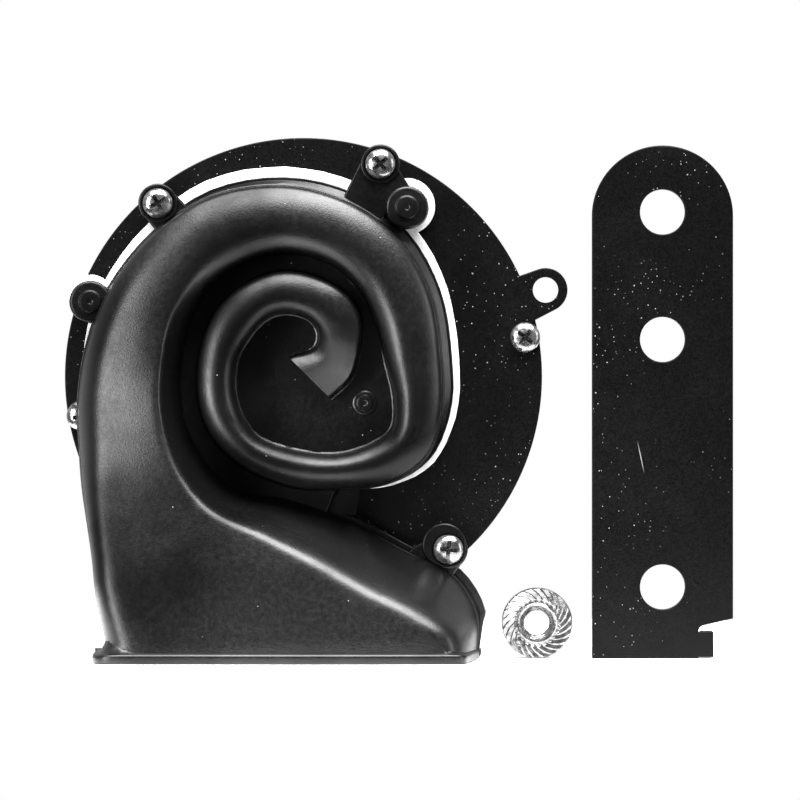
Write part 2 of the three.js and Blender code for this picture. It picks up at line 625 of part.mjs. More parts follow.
function makeMovingPieces() {
  const y = DIAPHRAGM_Y;
  const t = DIAPHRAGM_T;
  const fold = 0.4;
  const diaphragm = solid(turned([
    [BOLT_CLEAR_R, y],
    [28, y],
    [31, y + fold],
    [34, y],
    [47.0, y],
    [47.0, y + t],
    [34, y + t],
    [31, y + fold + t],
    [28, y + t],
    [BOLT_CLEAR_R, y + t],
  ], 30));
  add("diaphragm", cut(diaphragm, atScrews(BOLT_ANGLES_DEG, BOLT_HOLE_R)), springSteel);

  const armatureFront = y + t + GAP;
  add("armature", turned([
    [BOLT_CLEAR_R, armatureFront],
    [10, armatureFront],
    [ARMATURE_R, armatureFront + 1.2],
    [ARMATURE_R, ARMATURE_REAR_Y],
    [4.0, ARMATURE_REAR_Y],
    [4.0, ARMATURE_REAR_Y - 1.8],
    [BOLT_CLEAR_R, ARMATURE_REAR_Y - 1.8],
  ], 28), softSteel);
  const headFront = ARMATURE_REAR_Y - 1.5;
  add("armature_bolt", turned([
    [0, y - 3.3],
    [BOLT_R, y - 3.1],
    [BOLT_R, headFront],
    [3.6, headFront],
    [3.6, ARMATURE_REAR_Y - 0.2],
    [0, ARMATURE_REAR_Y - 0.2],
  ], SMALL_ROUND), zinc);
  add("diaphragm_washer", ring(BOLT_CLEAR_R, 8.0, y - 1.1, 0.8, 24), zinc);
  const nut = solid(hexagon(0, 0, 7.0, y - 3.0, y - 1.4));
  add("armature_nut", nut.subtract(solid(rod(0, 0, BOLT_CLEAR_R, -30, 0))), zinc);
}

function makeMagnet() {
  const core = solid(rod(0, 0, CORE_R, CORE_FRONT_Y, -CAN_WALL - GAP, 24));
  add("pole_core", core.subtract(solid(rod(0, 0, STUD_R + GAP, -8.8, 0))), softSteel);
  add("mounting_stud", turned([
    [0, -8.5],
    [STUD_R, -8.5],
    [STUD_R, STUD_END_Y - 0.8],
    [STUD_R - 0.8, STUD_END_Y],
    [0, STUD_END_Y],
  ], SMALL_ROUND), zinc);
  const bore = CORE_R + GAP;
  const rim = 16.5;
  add("coil_bobbin", turned([
    [bore, -12.2],
    [rim, -12.2],
    [rim, -11.3],
    [bore + 0.9, -11.3],
    [bore + 0.9, -4.2],
    [rim, -4.2],
    [rim, -3.3],
    [bore, -3.3],
  ], 28), phenolic);
  add("coil_winding", ring(bore + 1.2, rim - 0.8, -11.0, 6.5, 28), copper);
}

// A spring arm of the breaker, from past the stack's rivet to its free end.
function breakerArm(frontY, tipX) {
  const strip = capsule(tipX + ARM_WIDTH / 2, 0, STACK_X, 0, ARM_WIDTH / 2);
  const body = solid(plate(strip, frontY, ARM_T, 8));
  return body.subtract(solid(rod(STACK_X, 0, 1.8, -30, 0, TINY_ROUND)));
}

function makeBreaker() {
  add("contact_arm", breakerArm(MOVING_ARM_Y, 10.5), springSteel);
  add("fixed_arm", breakerArm(FIXED_ARM_Y, 16.0), springSteel);
  const movingFront = MOVING_ARM_Y - 0.2 - CONTACT_T;
  const contact = (frontY) => rod(CONTACT_X, 0, CONTACT_R, frontY, frontY + CONTACT_T, TINY_ROUND);
  add("moving_contact", contact(movingFront), softSteel);
  const fixedFront = FIXED_ARM_Y + ARM_T + 0.2;
  add("fixed_contact", contact(fixedFront), softSteel);
  const insulator = (frontY, thickness) => ring(1.8, 3.6, frontY, thickness, TINY_ROUND, STACK_X);
  add("contact_insulator_front", insulator(FIXED_ARM_Y - GAP - 0.7, 0.7), phenolic);
  const between = MOVING_ARM_Y - FIXED_ARM_Y - ARM_T - 2 * GAP;
  add("contact_insulator_middle", insulator(FIXED_ARM_Y + ARM_T + GAP, between), phenolic);
  const belowArm = MOVING_ARM_Y + ARM_T + GAP;
  add("contact_insulator_rear", insulator(belowArm, 1.0), phenolic);
  add("contact_post", ring(1.8, 3.2, belowArm + 1.3, 7.4, TINY_ROUND, STACK_X), softSteel);
  const headFront = FIXED_ARM_Y - 2 * GAP - 1.3;
  add("contact_rivet", turned([
    [0, headFront],
    [3.0, headFront],
    [3.0, headFront + 0.6],
    [1.5, headFront + 0.6],
    [1.5, CAN_REAR_Y + 0.3],
    [2.8, CAN_REAR_Y + 0.3],
    [2.8, CAN_REAR_Y + 1.0],
    [0, CAN_REAR_Y + 1.0],
  ], TINY_ROUND, STACK_X), zinc);

  const head = CAN_REAR_Y + 0.3;
  const screw = solid(turned([
    [0, -12.6],
    [1.2, -12.6],
    [2.0, -11.8],
    [2.0, head],
    [3.4, head],
    [3.4, head + 2.2],
    [0, head + 2.2],
  ], SMALL_ROUND, ADJUSTER_X));
  const slot = solid(box(ADJUSTER_X - 5, ADJUSTER_X + 5, head + 1.1, head + 4, -0.5, 0.5));
  add("adjusting_screw", screw.subtract(slot), zinc);

  // The suppression resistor lies across the can with its leads, beside the coil.
  const body = [[0, -9], [0.4, -9], [0.4, -5], [1.7, -5], [1.7, 5], [0.4, 5], [0.4, 9], [0, 9]];
  const resistor = turned(body, TINY_ROUND).rotateZ(Math.PI / 2).translate(0, -7, TERMINAL_Z);
  add("suppression_resistor", resistor, phenolic);
}

function makeTerminals() {
  const blockFront = CAN_REAR_Y + GAP;
  const blockRear = blockFront + 3.7;
  const half = TERMINAL_PITCH / 2;
  const block = solid(box(-half - 4.6, half + 4.6, blockFront, blockRear, TERMINAL_Z - 5, TERMINAL_Z + 7));
  const holes = [-half, half].map((x) => solid(rod(x, TERMINAL_Z, 1.8, -5, 10, TINY_ROUND)));
  add("terminal_block", cut(block, holes), blackPlastic);
  ["plus", "minus"].forEach((pole, i) => {
    const x = i === 0 ? -half : half;
    const footFront = blockRear + GAP;
    const top = TERMINAL_Z + 6;
    const [left, right] = [x - BLADE_WIDTH / 2, x + BLADE_WIDTH / 2];
    const foot = box(left, right, footFront, footFront + BLADE_T, TERMINAL_Z - 4, top);
    const blade = box(left, right, footFront, footFront + 9.5, top - BLADE_T, top);
    const hole = solid(rod(x, TERMINAL_Z, 1.8, -5, 10, TINY_ROUND));
    add(`terminal_blade_${pole}`, solid(foot).add(solid(blade)).subtract(hole), brass);
    add(`terminal_rivet_${i + 1}`, turned([
      [0, CAN_REAR_Y - 2.4],
      [2.6, CAN_REAR_Y - 2.4],
      [2.6, CAN_REAR_Y - 1.5],
      [1.5, CAN_REAR_Y - 1.5],
      [1.5, footFront + BLADE_T + 0.2],
      [2.6, footFront + BLADE_T + 0.2],
      [1.8, footFront + BLADE_T + 1.0],
      [0, footFront + BLADE_T + 1.0],
    ], TINY_ROUND, x, TERMINAL_Z), zinc);
  });
}

// ---------------------------------------------------------------- loose pieces

function makeBracket() {
  const strap = new THREE.Shape();
  const right = BRACKET_HALF;
  const archZ = BRACKET_LENGTH - BRACKET_HALF;
  const tabInner = 7.2;
  const tabOuter = 10.2;
  strap.moveTo(-right, 0);
  strap.lineTo(tabInner, 0);
  strap.lineTo(tabInner, 0.3);
  strap.lineTo(tabOuter, 0.3);
  strap.lineTo(tabOuter, 5.3);
  strap.lineTo(tabInner, 5.3);
  strap.quadraticCurveTo(tabInner, 6.6, tabInner + 1.6, 6.8);
  strap.lineTo(right, 8.0);
  strap.absarc(0, archZ, right, 0, Math.PI, false);
  strap.lineTo(-right, 0);
  BRACKET_HOLE_HEIGHTS.forEach((height) => {
    const hole = new THREE.Path();
    hole.absarc(0, height, BRACKET_HOLE_R, 0, 2 * Math.PI, true);
    strap.holes.push(hole);
  });
  const rearY = PLATE_FRONT_Y + BRACKET_T;
  const flat = solid(plate(strap, PLATE_FRONT_Y, BRACKET_T, SMALL_ROUND));
  const tab = solid(box(tabInner + 0.5, tabOuter, rearY - 1, rearY + BRACKET_TAB_LENGTH, 0.3, 5.3));
  add("bracket", flat.add(tab).translate([BRACKET_X, 0, FLOOR_Z]), blackPaint);
}

function makeNut() {
  const z = FLOOR_Z + NUT_FLANGE_R;
  const faceY = PLATE_FRONT_Y;
  const flange = solid(turned([
    [0, faceY],
    [NUT_FLANGE_R - 0.3, faceY],
    [NUT_FLANGE_R, faceY + 0.3],
    [NUT_FLANGE_R, faceY + 1.0],
    [4.9, faceY + 2.0],
    [0, faceY + 2.0],
  ], 32, NUT_X, z));
  const hex = solid(hexagon(NUT_X, z, NUT_ACROSS_FLATS, faceY + 1, faceY + NUT_HEIGHT));
  const bore = solid(turned([
    [0, faceY - 1],
    [3.5, faceY - 1],
    [3.5, faceY],
    [NUT_BORE_R, faceY + 0.8],
    [NUT_BORE_R, faceY + NUT_HEIGHT + 1],
    [0, faceY + NUT_HEIGHT + 1],
  ], SMALL_ROUND, NUT_X, z));
  add("flange_nut", flange.add(hex).subtract(bore), zinc);
}

makeSnail();
makeFrontPlate();
makeRim();
makeRimScrews();
makeDriverCan();
makeMovingPieces();
makeMagnet();
makeBreaker();
makeTerminals();
makeBracket();
makeNut();

export default horn;
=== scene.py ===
"""Looks of a twelve-volt snail horn, its loose bracket and its flange nut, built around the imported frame.

Lengths are in millimetres until a mesh is made. X runs right, Z up and Y towards the back of the horn.
"""

import json
import math
import random

import bmesh
import bpy
import numpy as np
from mathutils import Matrix, Vector
from mathutils.geometry import convex_hull_2d


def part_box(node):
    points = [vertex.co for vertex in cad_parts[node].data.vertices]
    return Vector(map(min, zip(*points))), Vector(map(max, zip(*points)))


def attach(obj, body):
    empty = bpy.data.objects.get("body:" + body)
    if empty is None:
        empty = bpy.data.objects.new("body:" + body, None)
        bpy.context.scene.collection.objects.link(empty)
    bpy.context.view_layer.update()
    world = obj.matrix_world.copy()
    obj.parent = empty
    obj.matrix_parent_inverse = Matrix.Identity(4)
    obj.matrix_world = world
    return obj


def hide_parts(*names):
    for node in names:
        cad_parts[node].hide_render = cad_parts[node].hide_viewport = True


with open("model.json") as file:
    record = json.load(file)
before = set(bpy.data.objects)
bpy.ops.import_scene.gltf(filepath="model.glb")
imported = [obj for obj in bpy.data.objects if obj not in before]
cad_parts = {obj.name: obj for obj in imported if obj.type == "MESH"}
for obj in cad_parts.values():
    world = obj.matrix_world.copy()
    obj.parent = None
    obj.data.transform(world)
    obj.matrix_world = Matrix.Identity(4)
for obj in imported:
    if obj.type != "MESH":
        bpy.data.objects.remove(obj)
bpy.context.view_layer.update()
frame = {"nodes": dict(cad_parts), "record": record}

MM = 0.001
random.seed(7)

# ---------------------------------------------------------------- sizes


def box_mm(node):
    """A CAD node's lowest and highest corner in millimetres."""
    low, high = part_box(node)
    return Vector(low) / MM, Vector(high) / MM


def middle_of(node):
    low, high = box_mm(node)
    return (low + high) / 2


FLOOR_Z = box_mm("front_shell")[0].z
PLATE_LOW, PLATE_HIGH = box_mm("front_plate")
PLATE_R = -PLATE_LOW.x
PLATE_THROAT_R = 11.0
BOLT_ANGLES = [10, 70, 130, 190, 250, 310]
BOLT_HOLE_R = 1.8
RIM_GASKET_INNER_R = 38.2
SCREW_HEAD_R = 3.0
SCREW_HEAD_T = 2.4
SHANK_R = 1.5
LUG_SCREWS = [2, 3, 6]
TAB_CENTRE = (48.4, 17.3)
TAB_END_R = 4.4
TAB_HOLE_R = 2.55
TAB_ROOTS = ((43.4, 19.7), (46.4, 11.6))

SEAM_Y = -25.5
FLANGE_T = 1.6
BASE_T = 0.7
LEDGE = 0.55
SHELL_WALL = 1.6
FILLET = 0.5
LIP_PROUD = 1.0
LIP_PROUD_LEFT = 2.8
LIP_CORNER_R = 1.5
LIP_T = 2.2
LUG_R = 3.8
LUG_ROOTS = {2: (12.5, 34.5, 4.6), 3: (-25.0, 30.0, 4.0), 6: (25.0, -38.0, 5.0)}  # each as x, z, radius
LOW_POST = (28.1, -33.6, 4.4)  # the thick part of the lowest lug, as x, z, radius
NOTCH = [(4.0, -19.5), (11.5, -20.5), (10.5, -27.6), (4.0, -27.0)]  # base between outer turn and flare
GAP = 0.3
BOSSES = [
    {"x": -42.4, "z": 14.9, "r": 4.1, "recess": 2.1, "front": -28.4},
    {"x": 20.7, "z": 33.6, "r": 4.2, "recess": 2.2, "front": -30.0},
    {"x": 12.3, "z": -5.3, "r": 2.6, "recess": 1.5, "front": -27.6},
]
EAR_GASKETS = [(1.0, 0.3), (0.4, 1.4)]  # how far the gasket's ears sit above the bosses, and stand proud

# Cross-sections of the channel: foot on the outer side, ridge, foot on the inner side, height.
SECTIONS = [
    ((5.5, -4.5), None, (-3.0, 4.0), 5.0),
    ((9.5, -0.5), None, (2.0, 5.5), 7.5),
    ((11.5, 6.0), None, (3.0, 8.0), 9.5),
    ((11.5, 12.0), None, (2.0, 10.5), 10.6),
    ((7.5, 17.5), None, (-0.5, 12.0), 11.0),
    ((-2.5, 21.0), None, (-3.5, 12.5), 11.2),
    ((-10.5, 19.0), None, (-7.0, 11.5), 11.3),
    ((-17.0, 13.5), None, (-10.5, 8.0), 11.4),
    ((-20.5, 5.0), None, (-13.0, 3.5), 11.5),
    ((-21.0, -4.0), None, (-13.5, -2.5), 11.6),
    ((-18.5, -11.5), None, (-12.0, -8.0), 11.7),
    ((-12.0, -18.0), None, (-9.0, -12.0), 11.8),
    ((-2.5, -22.0), None, (-2.5, -14.5), 11.8),
    ((7.5, -22.5), None, (6.5, -15.5), 11.9),
    ((17.5, -21.0), None, (13.5, -13.5), 12.0),
    ((24.5, -16.0), None, (17.5, -10.5), 12.1),
    ((27.5, -7.5), None, (18.0, -4.5), 12.2),
    ((27.5, 3.5), None, (16.5, 2.5), 12.3),
    ((25.5, 16.0), None, (14.5, 10.5), 12.4),
    ((19.5, 27.0), None, (11.0, 17.5), 12.6),
    ((9.5, 34.5), None, (5.0, 22.5), 12.8),
    ((-3.5, 38.0), None, (-3.5, 24.5), 13.1),
    ((-18.0, 36.0), None, (-11.5, 22.5), 13.7),
    ((-29.7, 28.5), (-21.5, 21.5), (-18.0, 18.0), 14.4),
    ((-38.6, 17.6), (-26.0, 12.5), (-22.0, 11.0), 15.6),
    ((-43.1, 6.2), (-27.5, 4.0), (-24.0, 3.0), 17.0),
    ((-44.8, -5.0), (-28.0, -4.5), (-24.0, -4.5), 18.4),
    ((-44.4, -14.0), (-26.5, -13.0), (-22.5, -11.0), 19.8),
    ((-43.8, -22.0), (-23.0, -20.5), (-18.5, -17.5), 21.2),
    ((-42.8, -29.0), (-17.5, -26.5), (-12.5, -22.5), 22.6),
    ((-41.8, -36.0), (-8.0, -31.0), (-2.5, -24.0), 23.8),
    ((-41.2, -42.0), (3.0, -36.5), (9.5, -28.0), 24.8),
    ((-40.3, -47.0), (13.0, -42.0), (20.5, -33.7), 25.6),
    ((-39.3, -51.5), (23.5, -47.0), (30.0, -38.8), 26.3),
    ((-38.8, -54.5), (29.5, -51.0), (34.8, -47.0), 26.8),
    ((-38.8, -58.5), (32.0, -58.5), (34.2, -58.5), 27.0),
]
# How far the flange stands out from the channel's foot, and the gasket from the flange, at places
# counted in sections: first along the outer foot, then along the inner foot of the flare.
OUTER_EDGE = [
    (13, 0.3, -0.5),
    (14, 0.3, 0.5),
    (15, 0.9, 1.0),
    (16.5, 2.2, 1.3),
    (18, 2.2, 1.4),
    (20, 2.2, 2.1),
    (22, 1.3, 2.1),
    (23, 0.6, 1.8),
    (24.5, 0.4, 1.0),
    (25.5, 0.4, -0.5),
    (35, 0.4, -0.5),
]
INNER_EDGE = [
    (30, 0.4, -0.5),
    (32.3, 0.4, -0.5),
    (33, 1.5, -0.5),
    (34, 1.6, -0.5),
    (34.3, 0.6, -0.5),
    (35, 0.4, -0.5),
]
LAST = len(SECTIONS) - 1
STEPS = 8  # rings from one section to the next
FIRST_EXPOSED = 13
FIRST_RIDGE = 23
FULL_RIDGE = 26
FIRST_FLARE = 30
WALL_T = 0.12
WALL_SHARE = 0.03
WALL_RISES = (0.85, 0.78)  # how much of the height the walls take, at the first and the last rounded section
CROWN = 0.6  # where the crown is highest, from the outer foot to the inner foot
SHOULDER_T = 1 / 3
RIDGE_T = 3 / 4
SHOULDERS = (4.2, 1.6)  # the shoulder's width where the roof starts, and where it ends
BULGE = 0.045
ROOF_START, ROOF_END = 25.5, 31.0
STEEP_ROOF, FLAT_ROOF = 0.68, 0.97
PROFILE_POINTS = 72

# ---------------------------------------------------------------- meshes


def new_object(name, vertices, faces):
    """An object with a closed mesh given in millimetres, its faces turned outwards."""
    mesh = bpy.data.meshes.new(name)
    mesh.from_pydata([Vector(v) * MM for v in vertices], [], faces)
    obj = bpy.data.objects.new(name, mesh)
    bpy.context.scene.collection.objects.link(obj)
    close_up(obj)
    return obj


def close_up(obj):
    work = bmesh.new()
    work.from_mesh(obj.data)
    bmesh.ops.remove_doubles(work, verts=work.verts, dist=1e-7)
    bmesh.ops.recalc_face_normals(work, faces=work.faces)
    work.to_mesh(obj.data)
    work.free()


def bake(obj):
    """Turns an object and its modifiers into one plain mesh at the origin."""
    bpy.context.view_layer.update()
    graph = bpy.context.evaluated_depsgraph_get()
    mesh = bpy.data.meshes.new_from_object(obj.evaluated_get(graph))
    mesh.transform(obj.matrix_world)
    name = obj.name
    bpy.data.objects.remove(obj)
    baked = bpy.data.objects.new(name, mesh)
    bpy.context.scene.collection.objects.link(baked)
    return baked


def boolean(body, operation, tools):
    for tool in tools:
        step = body.modifiers.new("step", "BOOLEAN")
        step.object = tool
        step.operation = operation
        step.solver = "MANIFOLD"
    body = bake(body)
    for tool in tools:
        bpy.data.objects.remove(tool)
    return body


def join(body, tools):
    return boolean(body, "UNION", tools)


def cut(body, tools):
    return boolean(body, "DIFFERENCE", tools)


def turned(name, profile, x=0.0, z=0.0, segments=96):
    """A profile of (radius, y) pairs turned about an axis along Y. Off the axis, it closes on itself."""
    angles = [2 * math.pi * i / segments for i in range(segments)]
    vertices = [(x + r * math.cos(a), y, z + r * math.sin(a)) for r, y in profile for a in angles]
    rows = len(profile) - 1 if profile[0][0] == 0 else len(profile)
    faces = []
    for row in range(rows):
        low = row * segments
        high = (row + 1) % len(profile) * segments
        for i in range(segments):
            j = (i + 1) % segments
            faces.append((low + i, low + j, high + j, high + i))
    obj = new_object(name, vertices, faces)
    drop_flat_faces(obj)
    return obj


def drop_flat_faces(obj):
    work = bmesh.new()
    work.from_mesh(obj.data)
    bmesh.ops.dissolve_degenerate(work, edges=work.edges, dist=1e-7)
    bmesh.ops.recalc_face_normals(work, faces=work.faces)
    work.to_mesh(obj.data)
    work.free()


def rounded(profile, radius, steps=4):
    """A closed or open profile with each inner corner rounded by about that radius."""
    result = [profile[0]]
    for before, corner, after in zip(profile, profile[1:], profile[2:]):
        a, b, c = (np.array(p, float) for p in (before, corner, after))
        into, out = a - b, c - b
        reach = min(radius, 0.45 * np.linalg.norm(into), 0.45 * np.linalg.norm(out))
        start = b + into / np.linalg.norm(into) * reach
        end = b + out / np.linalg.norm(out) * reach
        for i in range(steps + 1):
            t = i / steps
            result.append(tuple((1 - t) ** 2 * start + 2 * t * (1 - t) * b + t**2 * end))
    result.append(profile[-1])
    return result


def rod(x, z, radius, front, rear, segments=48):
    return turned("rod", [(0, front), (radius, front), (radius, rear), (0, rear)], x, z, segments)


def circle(x, z, radius, segments=48):
    angles = [2 * math.pi * i / segments for i in range(segments)]
    return [(x + radius * math.cos(a), z + radius * math.sin(a)) for a in angles]


def hull(*circles):
    """The outline round several circles, each given as x, z and radius."""
    points = [p for x, z, r in circles for p in circle(x, z, r, 64)]
    return [points[i] for i in convex_hull_2d(points)]


def signed_area(outline):
    following = outline[1:] + outline[:1]
    return sum(a[0] * b[1] - b[0] * a[1] for a, b in zip(outline, following)) / 2


def plate(name, outlines, front, rear, edge=0.2):
    """A flat piece drawn in X and Z with rounded edges. The outlines after the first are holes."""
    curve = bpy.data.curves.new(name, "CURVE")
    curve.dimensions = "2D"
    curve.fill_mode = "BOTH"
    for i, outline in enumerate(outlines):
        if (signed_area(outline) > 0) != (i == 0):
            outline = outline[::-1]
        spline = curve.splines.new("POLY")
        spline.points.add(len(outline) - 1)
        for point, (x, z) in zip(spline.points, outline):
            point.co = (x * MM, z * MM, 0, 1)
        spline.use_cyclic_u = True
    curve.extrude = ((rear - front) / 2 - edge) * MM
    curve.bevel_depth = edge * MM
    curve.offset = -edge * MM
    curve.bevel_resolution = 2
    obj = bpy.data.objects.new(name, curve)
    bpy.context.scene.collection.objects.link(obj)
    obj.rotation_euler.x = math.pi / 2
    obj.location.y = (front + rear) / 2 * MM
    obj = bake(obj)
    close_up(obj)
    return obj


def block(x0, x1, y0, y1, z0, z1, edge=0.0):
    corners = [(x0, z0), (x1, z0), (x1, z1), (x0, z1)]
    if edge > 0:
        return plate("block", [corners], y0, y1, edge)
    vertices = [(x, y, z) for y in (y0, y1) for x, z in corners]
    faces = [(0, 1, 2, 3), (7, 6, 5, 4), (0, 4, 5, 1), (1, 5, 6, 2), (2, 6, 7, 3), (3, 7, 4, 0)]
    return new_object("block", vertices, faces)


def screw_place(number):
    centre = middle_of(f"rim_screw_{number}")
    return centre.x, centre.z


def bolt_holes(front, rear, radius=BOLT_HOLE_R, numbers=(1, 2, 3, 4, 5, 6)):
    return [rod(*screw_place(number), radius, front, rear, 32) for number in numbers]


def grid_solid(name, rings):
    """A closed body through equal rings of points, with a fan over each end."""
    sides = len(rings[0])
    vertices = [tuple(p) for ring in rings for p in ring]
    faces = []
    for row in range(len(rings) - 1):
        for i in range(sides):
            j = (i + 1) % sides
            a = row * sides
            b = a + sides
            faces.append((a + i, a + j, b + j, b + i))
    for row in (0, len(rings) - 1):
        centre = tuple(np.mean(np.array(rings[row]), axis=0))
        vertices.append(centre)
        hub = len(vertices) - 1
        start = row * sides
        faces.extend((start + i, start + (i + 1) % sides, hub) for i in range(sides))
    return new_object(name, vertices, faces)


# ---------------------------------------------------------------- spiral


def catmull_rom(points, place):
    """The centripetal Catmull-Rom curve through the points, at a place counted in points."""
    index = min(int(place), len(points) - 2)
    t = place - index
    p1, p2 = points[index], points[index + 1]
    p0 = points[index - 1] if index > 0 else 2 * p1 - p2
    p3 = points[index + 2] if index + 2 < len(points) else 2 * p2 - p1
    d0, d1, d2 = (max(np.linalg.norm(b - a), 1e-6) ** 0.5 for a, b in ((p0, p1), (p1, p2), (p2, p3)))
    m1 = ((p1 - p0) / d0 - (p2 - p0) / (d0 + d1) + (p2 - p1) / d1) * d1
    m2 = ((p2 - p1) / d1 - (p3 - p1) / (d1 + d2) + (p3 - p2) / d2) * d1
    return p1 + m1 * t + (3 * (p2 - p1) - 2 * m1 - m2) * t**2 + (2 * (p1 - p2) + m1 + m2) * t**3


def fair(values, rounds):
    """Evens out a row of points without drawing it in."""
    values = np.array(values, float)
    for _ in range(rounds):
        for weight in (0.5, -0.52):
            middle = (values[:-2] + values[2:]) / 2 - values[1:-1]
            values[1:-1] += weight * middle
    return values


def along_spiral():
    """Outer foot, inner foot, ridge and height for every ring of the channel."""
    outer = [np.array(s[0]) for s in SECTIONS]
    inner = [np.array(s[2]) for s in SECTIONS]
    ridge = [np.array(s[1]) if s[1] else (np.array(s[0]) + np.array(s[2])) / 2 for s in SECTIONS]
    height = [np.array([s[3]]) for s in SECTIONS]
    places = [i / STEPS for i in range(LAST * STEPS + 1)]
    return [fair([catmull_rom(row, p) for p in places], 14) for row in (outer, inner, ridge, height)]


OUTER, INNER, RIDGE, HEIGHT = along_spiral()


def smoothstep(x, low, high):
    t = min(max((x - low) / (high - low), 0.0), 1.0)
    return t * t * (3 - 2 * t)


def domed_share(t, wall_rise):
    """How far across and how high a point of a rounded section is: steep walls, then a low crown."""
    if t < WALL_T:
        return WALL_SHARE * t / WALL_T, wall_rise * t / WALL_T
    if t > 1 - WALL_T:
        share, rise = domed_share(1 - t, wall_rise)
        return 1 - share, rise
    u = (t - WALL_T) / (1 - 2 * WALL_T)
    off = (u - CROWN) / (CROWN if u < CROWN else 1 - CROWN)
    return WALL_SHARE + (1 - 2 * WALL_SHARE) * u, wall_rise + (1 - wall_rise) * (1 - off * off)


def profile_point(outer, inner, ridge, height, wall_rise, ridged, roof, shoulder, t):
    """X, Z and height of a point on a section, t running from its outer foot to its inner foot.

    A ridged section climbs from its shoulder, at a share "roof" of its height, to its ridge.
    """
    shoulder = min(shoulder / np.linalg.norm(ridge - outer), 0.35)
    share, rise = domed_share(t, wall_rise)
    domed = np.append(outer + (inner - outer) * share, height * rise)
    if t < SHOULDER_T:
        turn = math.pi / 2 * t / SHOULDER_T
        share = shoulder * (1 - math.cos(turn))
        rise = (roof + (1 - roof) * share) * math.sin(turn) ** 0.8
    elif t < RIDGE_T:
        share = shoulder + (1 - shoulder) * (t - SHOULDER_T) / (RIDGE_T - SHOULDER_T)
        rise = roof + (1 - roof) * share - BULGE * (1 - math.sin(math.pi * share)) * (share - shoulder)
    else:
        share, rise = 1.0, 1 - (t - RIDGE_T) / (1 - RIDGE_T)
    flat = outer + (ridge - outer) * share
    if t >= RIDGE_T:
        flat = inner + (ridge - inner) * rise
    edged = np.append(flat, height * rise)
    return domed + (edged - domed) * ridged


def resampled(points, count):
    """The same path with its points evenly spaced."""
    steps = np.linalg.norm(np.diff(points, axis=0), axis=1)
    length = np.concatenate([[0], np.cumsum(steps)])
    marks = np.linspace(0, length[-1], count)
    return np.column_stack([np.interp(marks, length, points[:, k]) for k in range(points.shape[1])])


def section_path(index, wall=0.0, softening=14):
    """The section at a ring as a path of X, Z and height, its ridge softened."""
    outer, inner, ridge = OUTER[index], INNER[index], RIDGE[index]
    height = HEIGHT[index][0] - wall
    across = (inner - outer) / np.linalg.norm(inner - outer) * wall
    outer, inner, ridge = outer + across, inner - across, ridge - across / 2
    ridged = smoothstep(index / STEPS, FIRST_RIDGE - 1, FULL_RIDGE)
    flattening = smoothstep(index / STEPS, ROOF_START, ROOF_END)
    roof = STEEP_ROOF + (FLAT_ROOF - STEEP_ROOF) * flattening
    shoulder = SHOULDERS[0] + (SHOULDERS[1] - SHOULDERS[0]) * flattening
    wall_rise = np.interp(index / STEPS, (0, FULL_RIDGE), WALL_RISES)
    shape = (outer, inner, ridge, height, wall_rise, ridged, roof, shoulder)
    samples = 180
    path = np.array([profile_point(*shape, i / samples) for i in range(samples + 1)])
    path = resampled(path, 2 * PROFILE_POINTS)
    for _ in range(round(softening * (1 + 2 * ridged))):
        path[1:-1] = (path[:-2] + 2 * path[1:-1] + path[2:]) / 4
    return path


def shell_ring(index):
    """One closed ring of the channel's outside, with a fillet and a sloping flange at each foot."""
    path = section_path(index)
    fillet = min(FILLET, 0.4 * (HEIGHT[index][0] - FLANGE_T))
    foot = FLANGE_T + fillet
    above = np.nonzero(path[:, 2] >= foot)[0]
    path = resampled(path[above[0] : above[-1] + 1], PROFILE_POINTS)
    across = np.append((INNER[index] - OUTER[index]) / np.linalg.norm(INNER[index] - OUTER[index]), 0)
    up = np.array([0, 0, 1])
    place = index / STEPS
    outer_flange = edge_width(OUTER_EDGE, place) if place >= FIRST_EXPOSED else 2.0
    inner_flange = edge_width(INNER_EDGE, place) if place >= FIRST_FLARE else 2.0
    steps = 4
    ring = []
    for end, outward, flange in ((path[0], -across, outer_flange), (path[-1], across, inner_flange)):
        ground = end - up * end[2]
        rim = ground + outward * max(flange - LEDGE, 0.6 * flange)
        crease = min(fillet, 0.5 * flange)
        arc = [rim + up * 0.2, rim + up * (BASE_T + 0.02)]
        for i in range(steps):
            angle = math.pi / 2 * i / steps
            out, rise = crease * (1 - math.sin(angle)), fillet * (1 - math.cos(angle))
            arc.append(ground + outward * out + up * (FLANGE_T + rise))
        ring.append(arc)
    points = ring[0] + list(path) + ring[1][::-1]
    return [(x, SEAM_Y - height, z) for x, z, height in points]


def channel_ring(index):
    """One closed ring of the hollow inside."""
    path = resampled(section_path(index, SHELL_WALL, 4), 40)
    points = [(x, SEAM_Y - max(height, 0.1), z) for x, z, height in path]
    first, last = points[0], points[-1]
    return [(first[0], SEAM_Y + 2, first[2]), *points, (last[0], SEAM_Y + 2, last[2])]


def edge_width(stops, place, gasket_share=0.0):
    """The flange's width at a place, and the gasket's past it."""
    places = [stop[0] for stop in stops]
    return np.interp(place, places, [stop[1] + gasket_share * stop[2] for stop in stops])


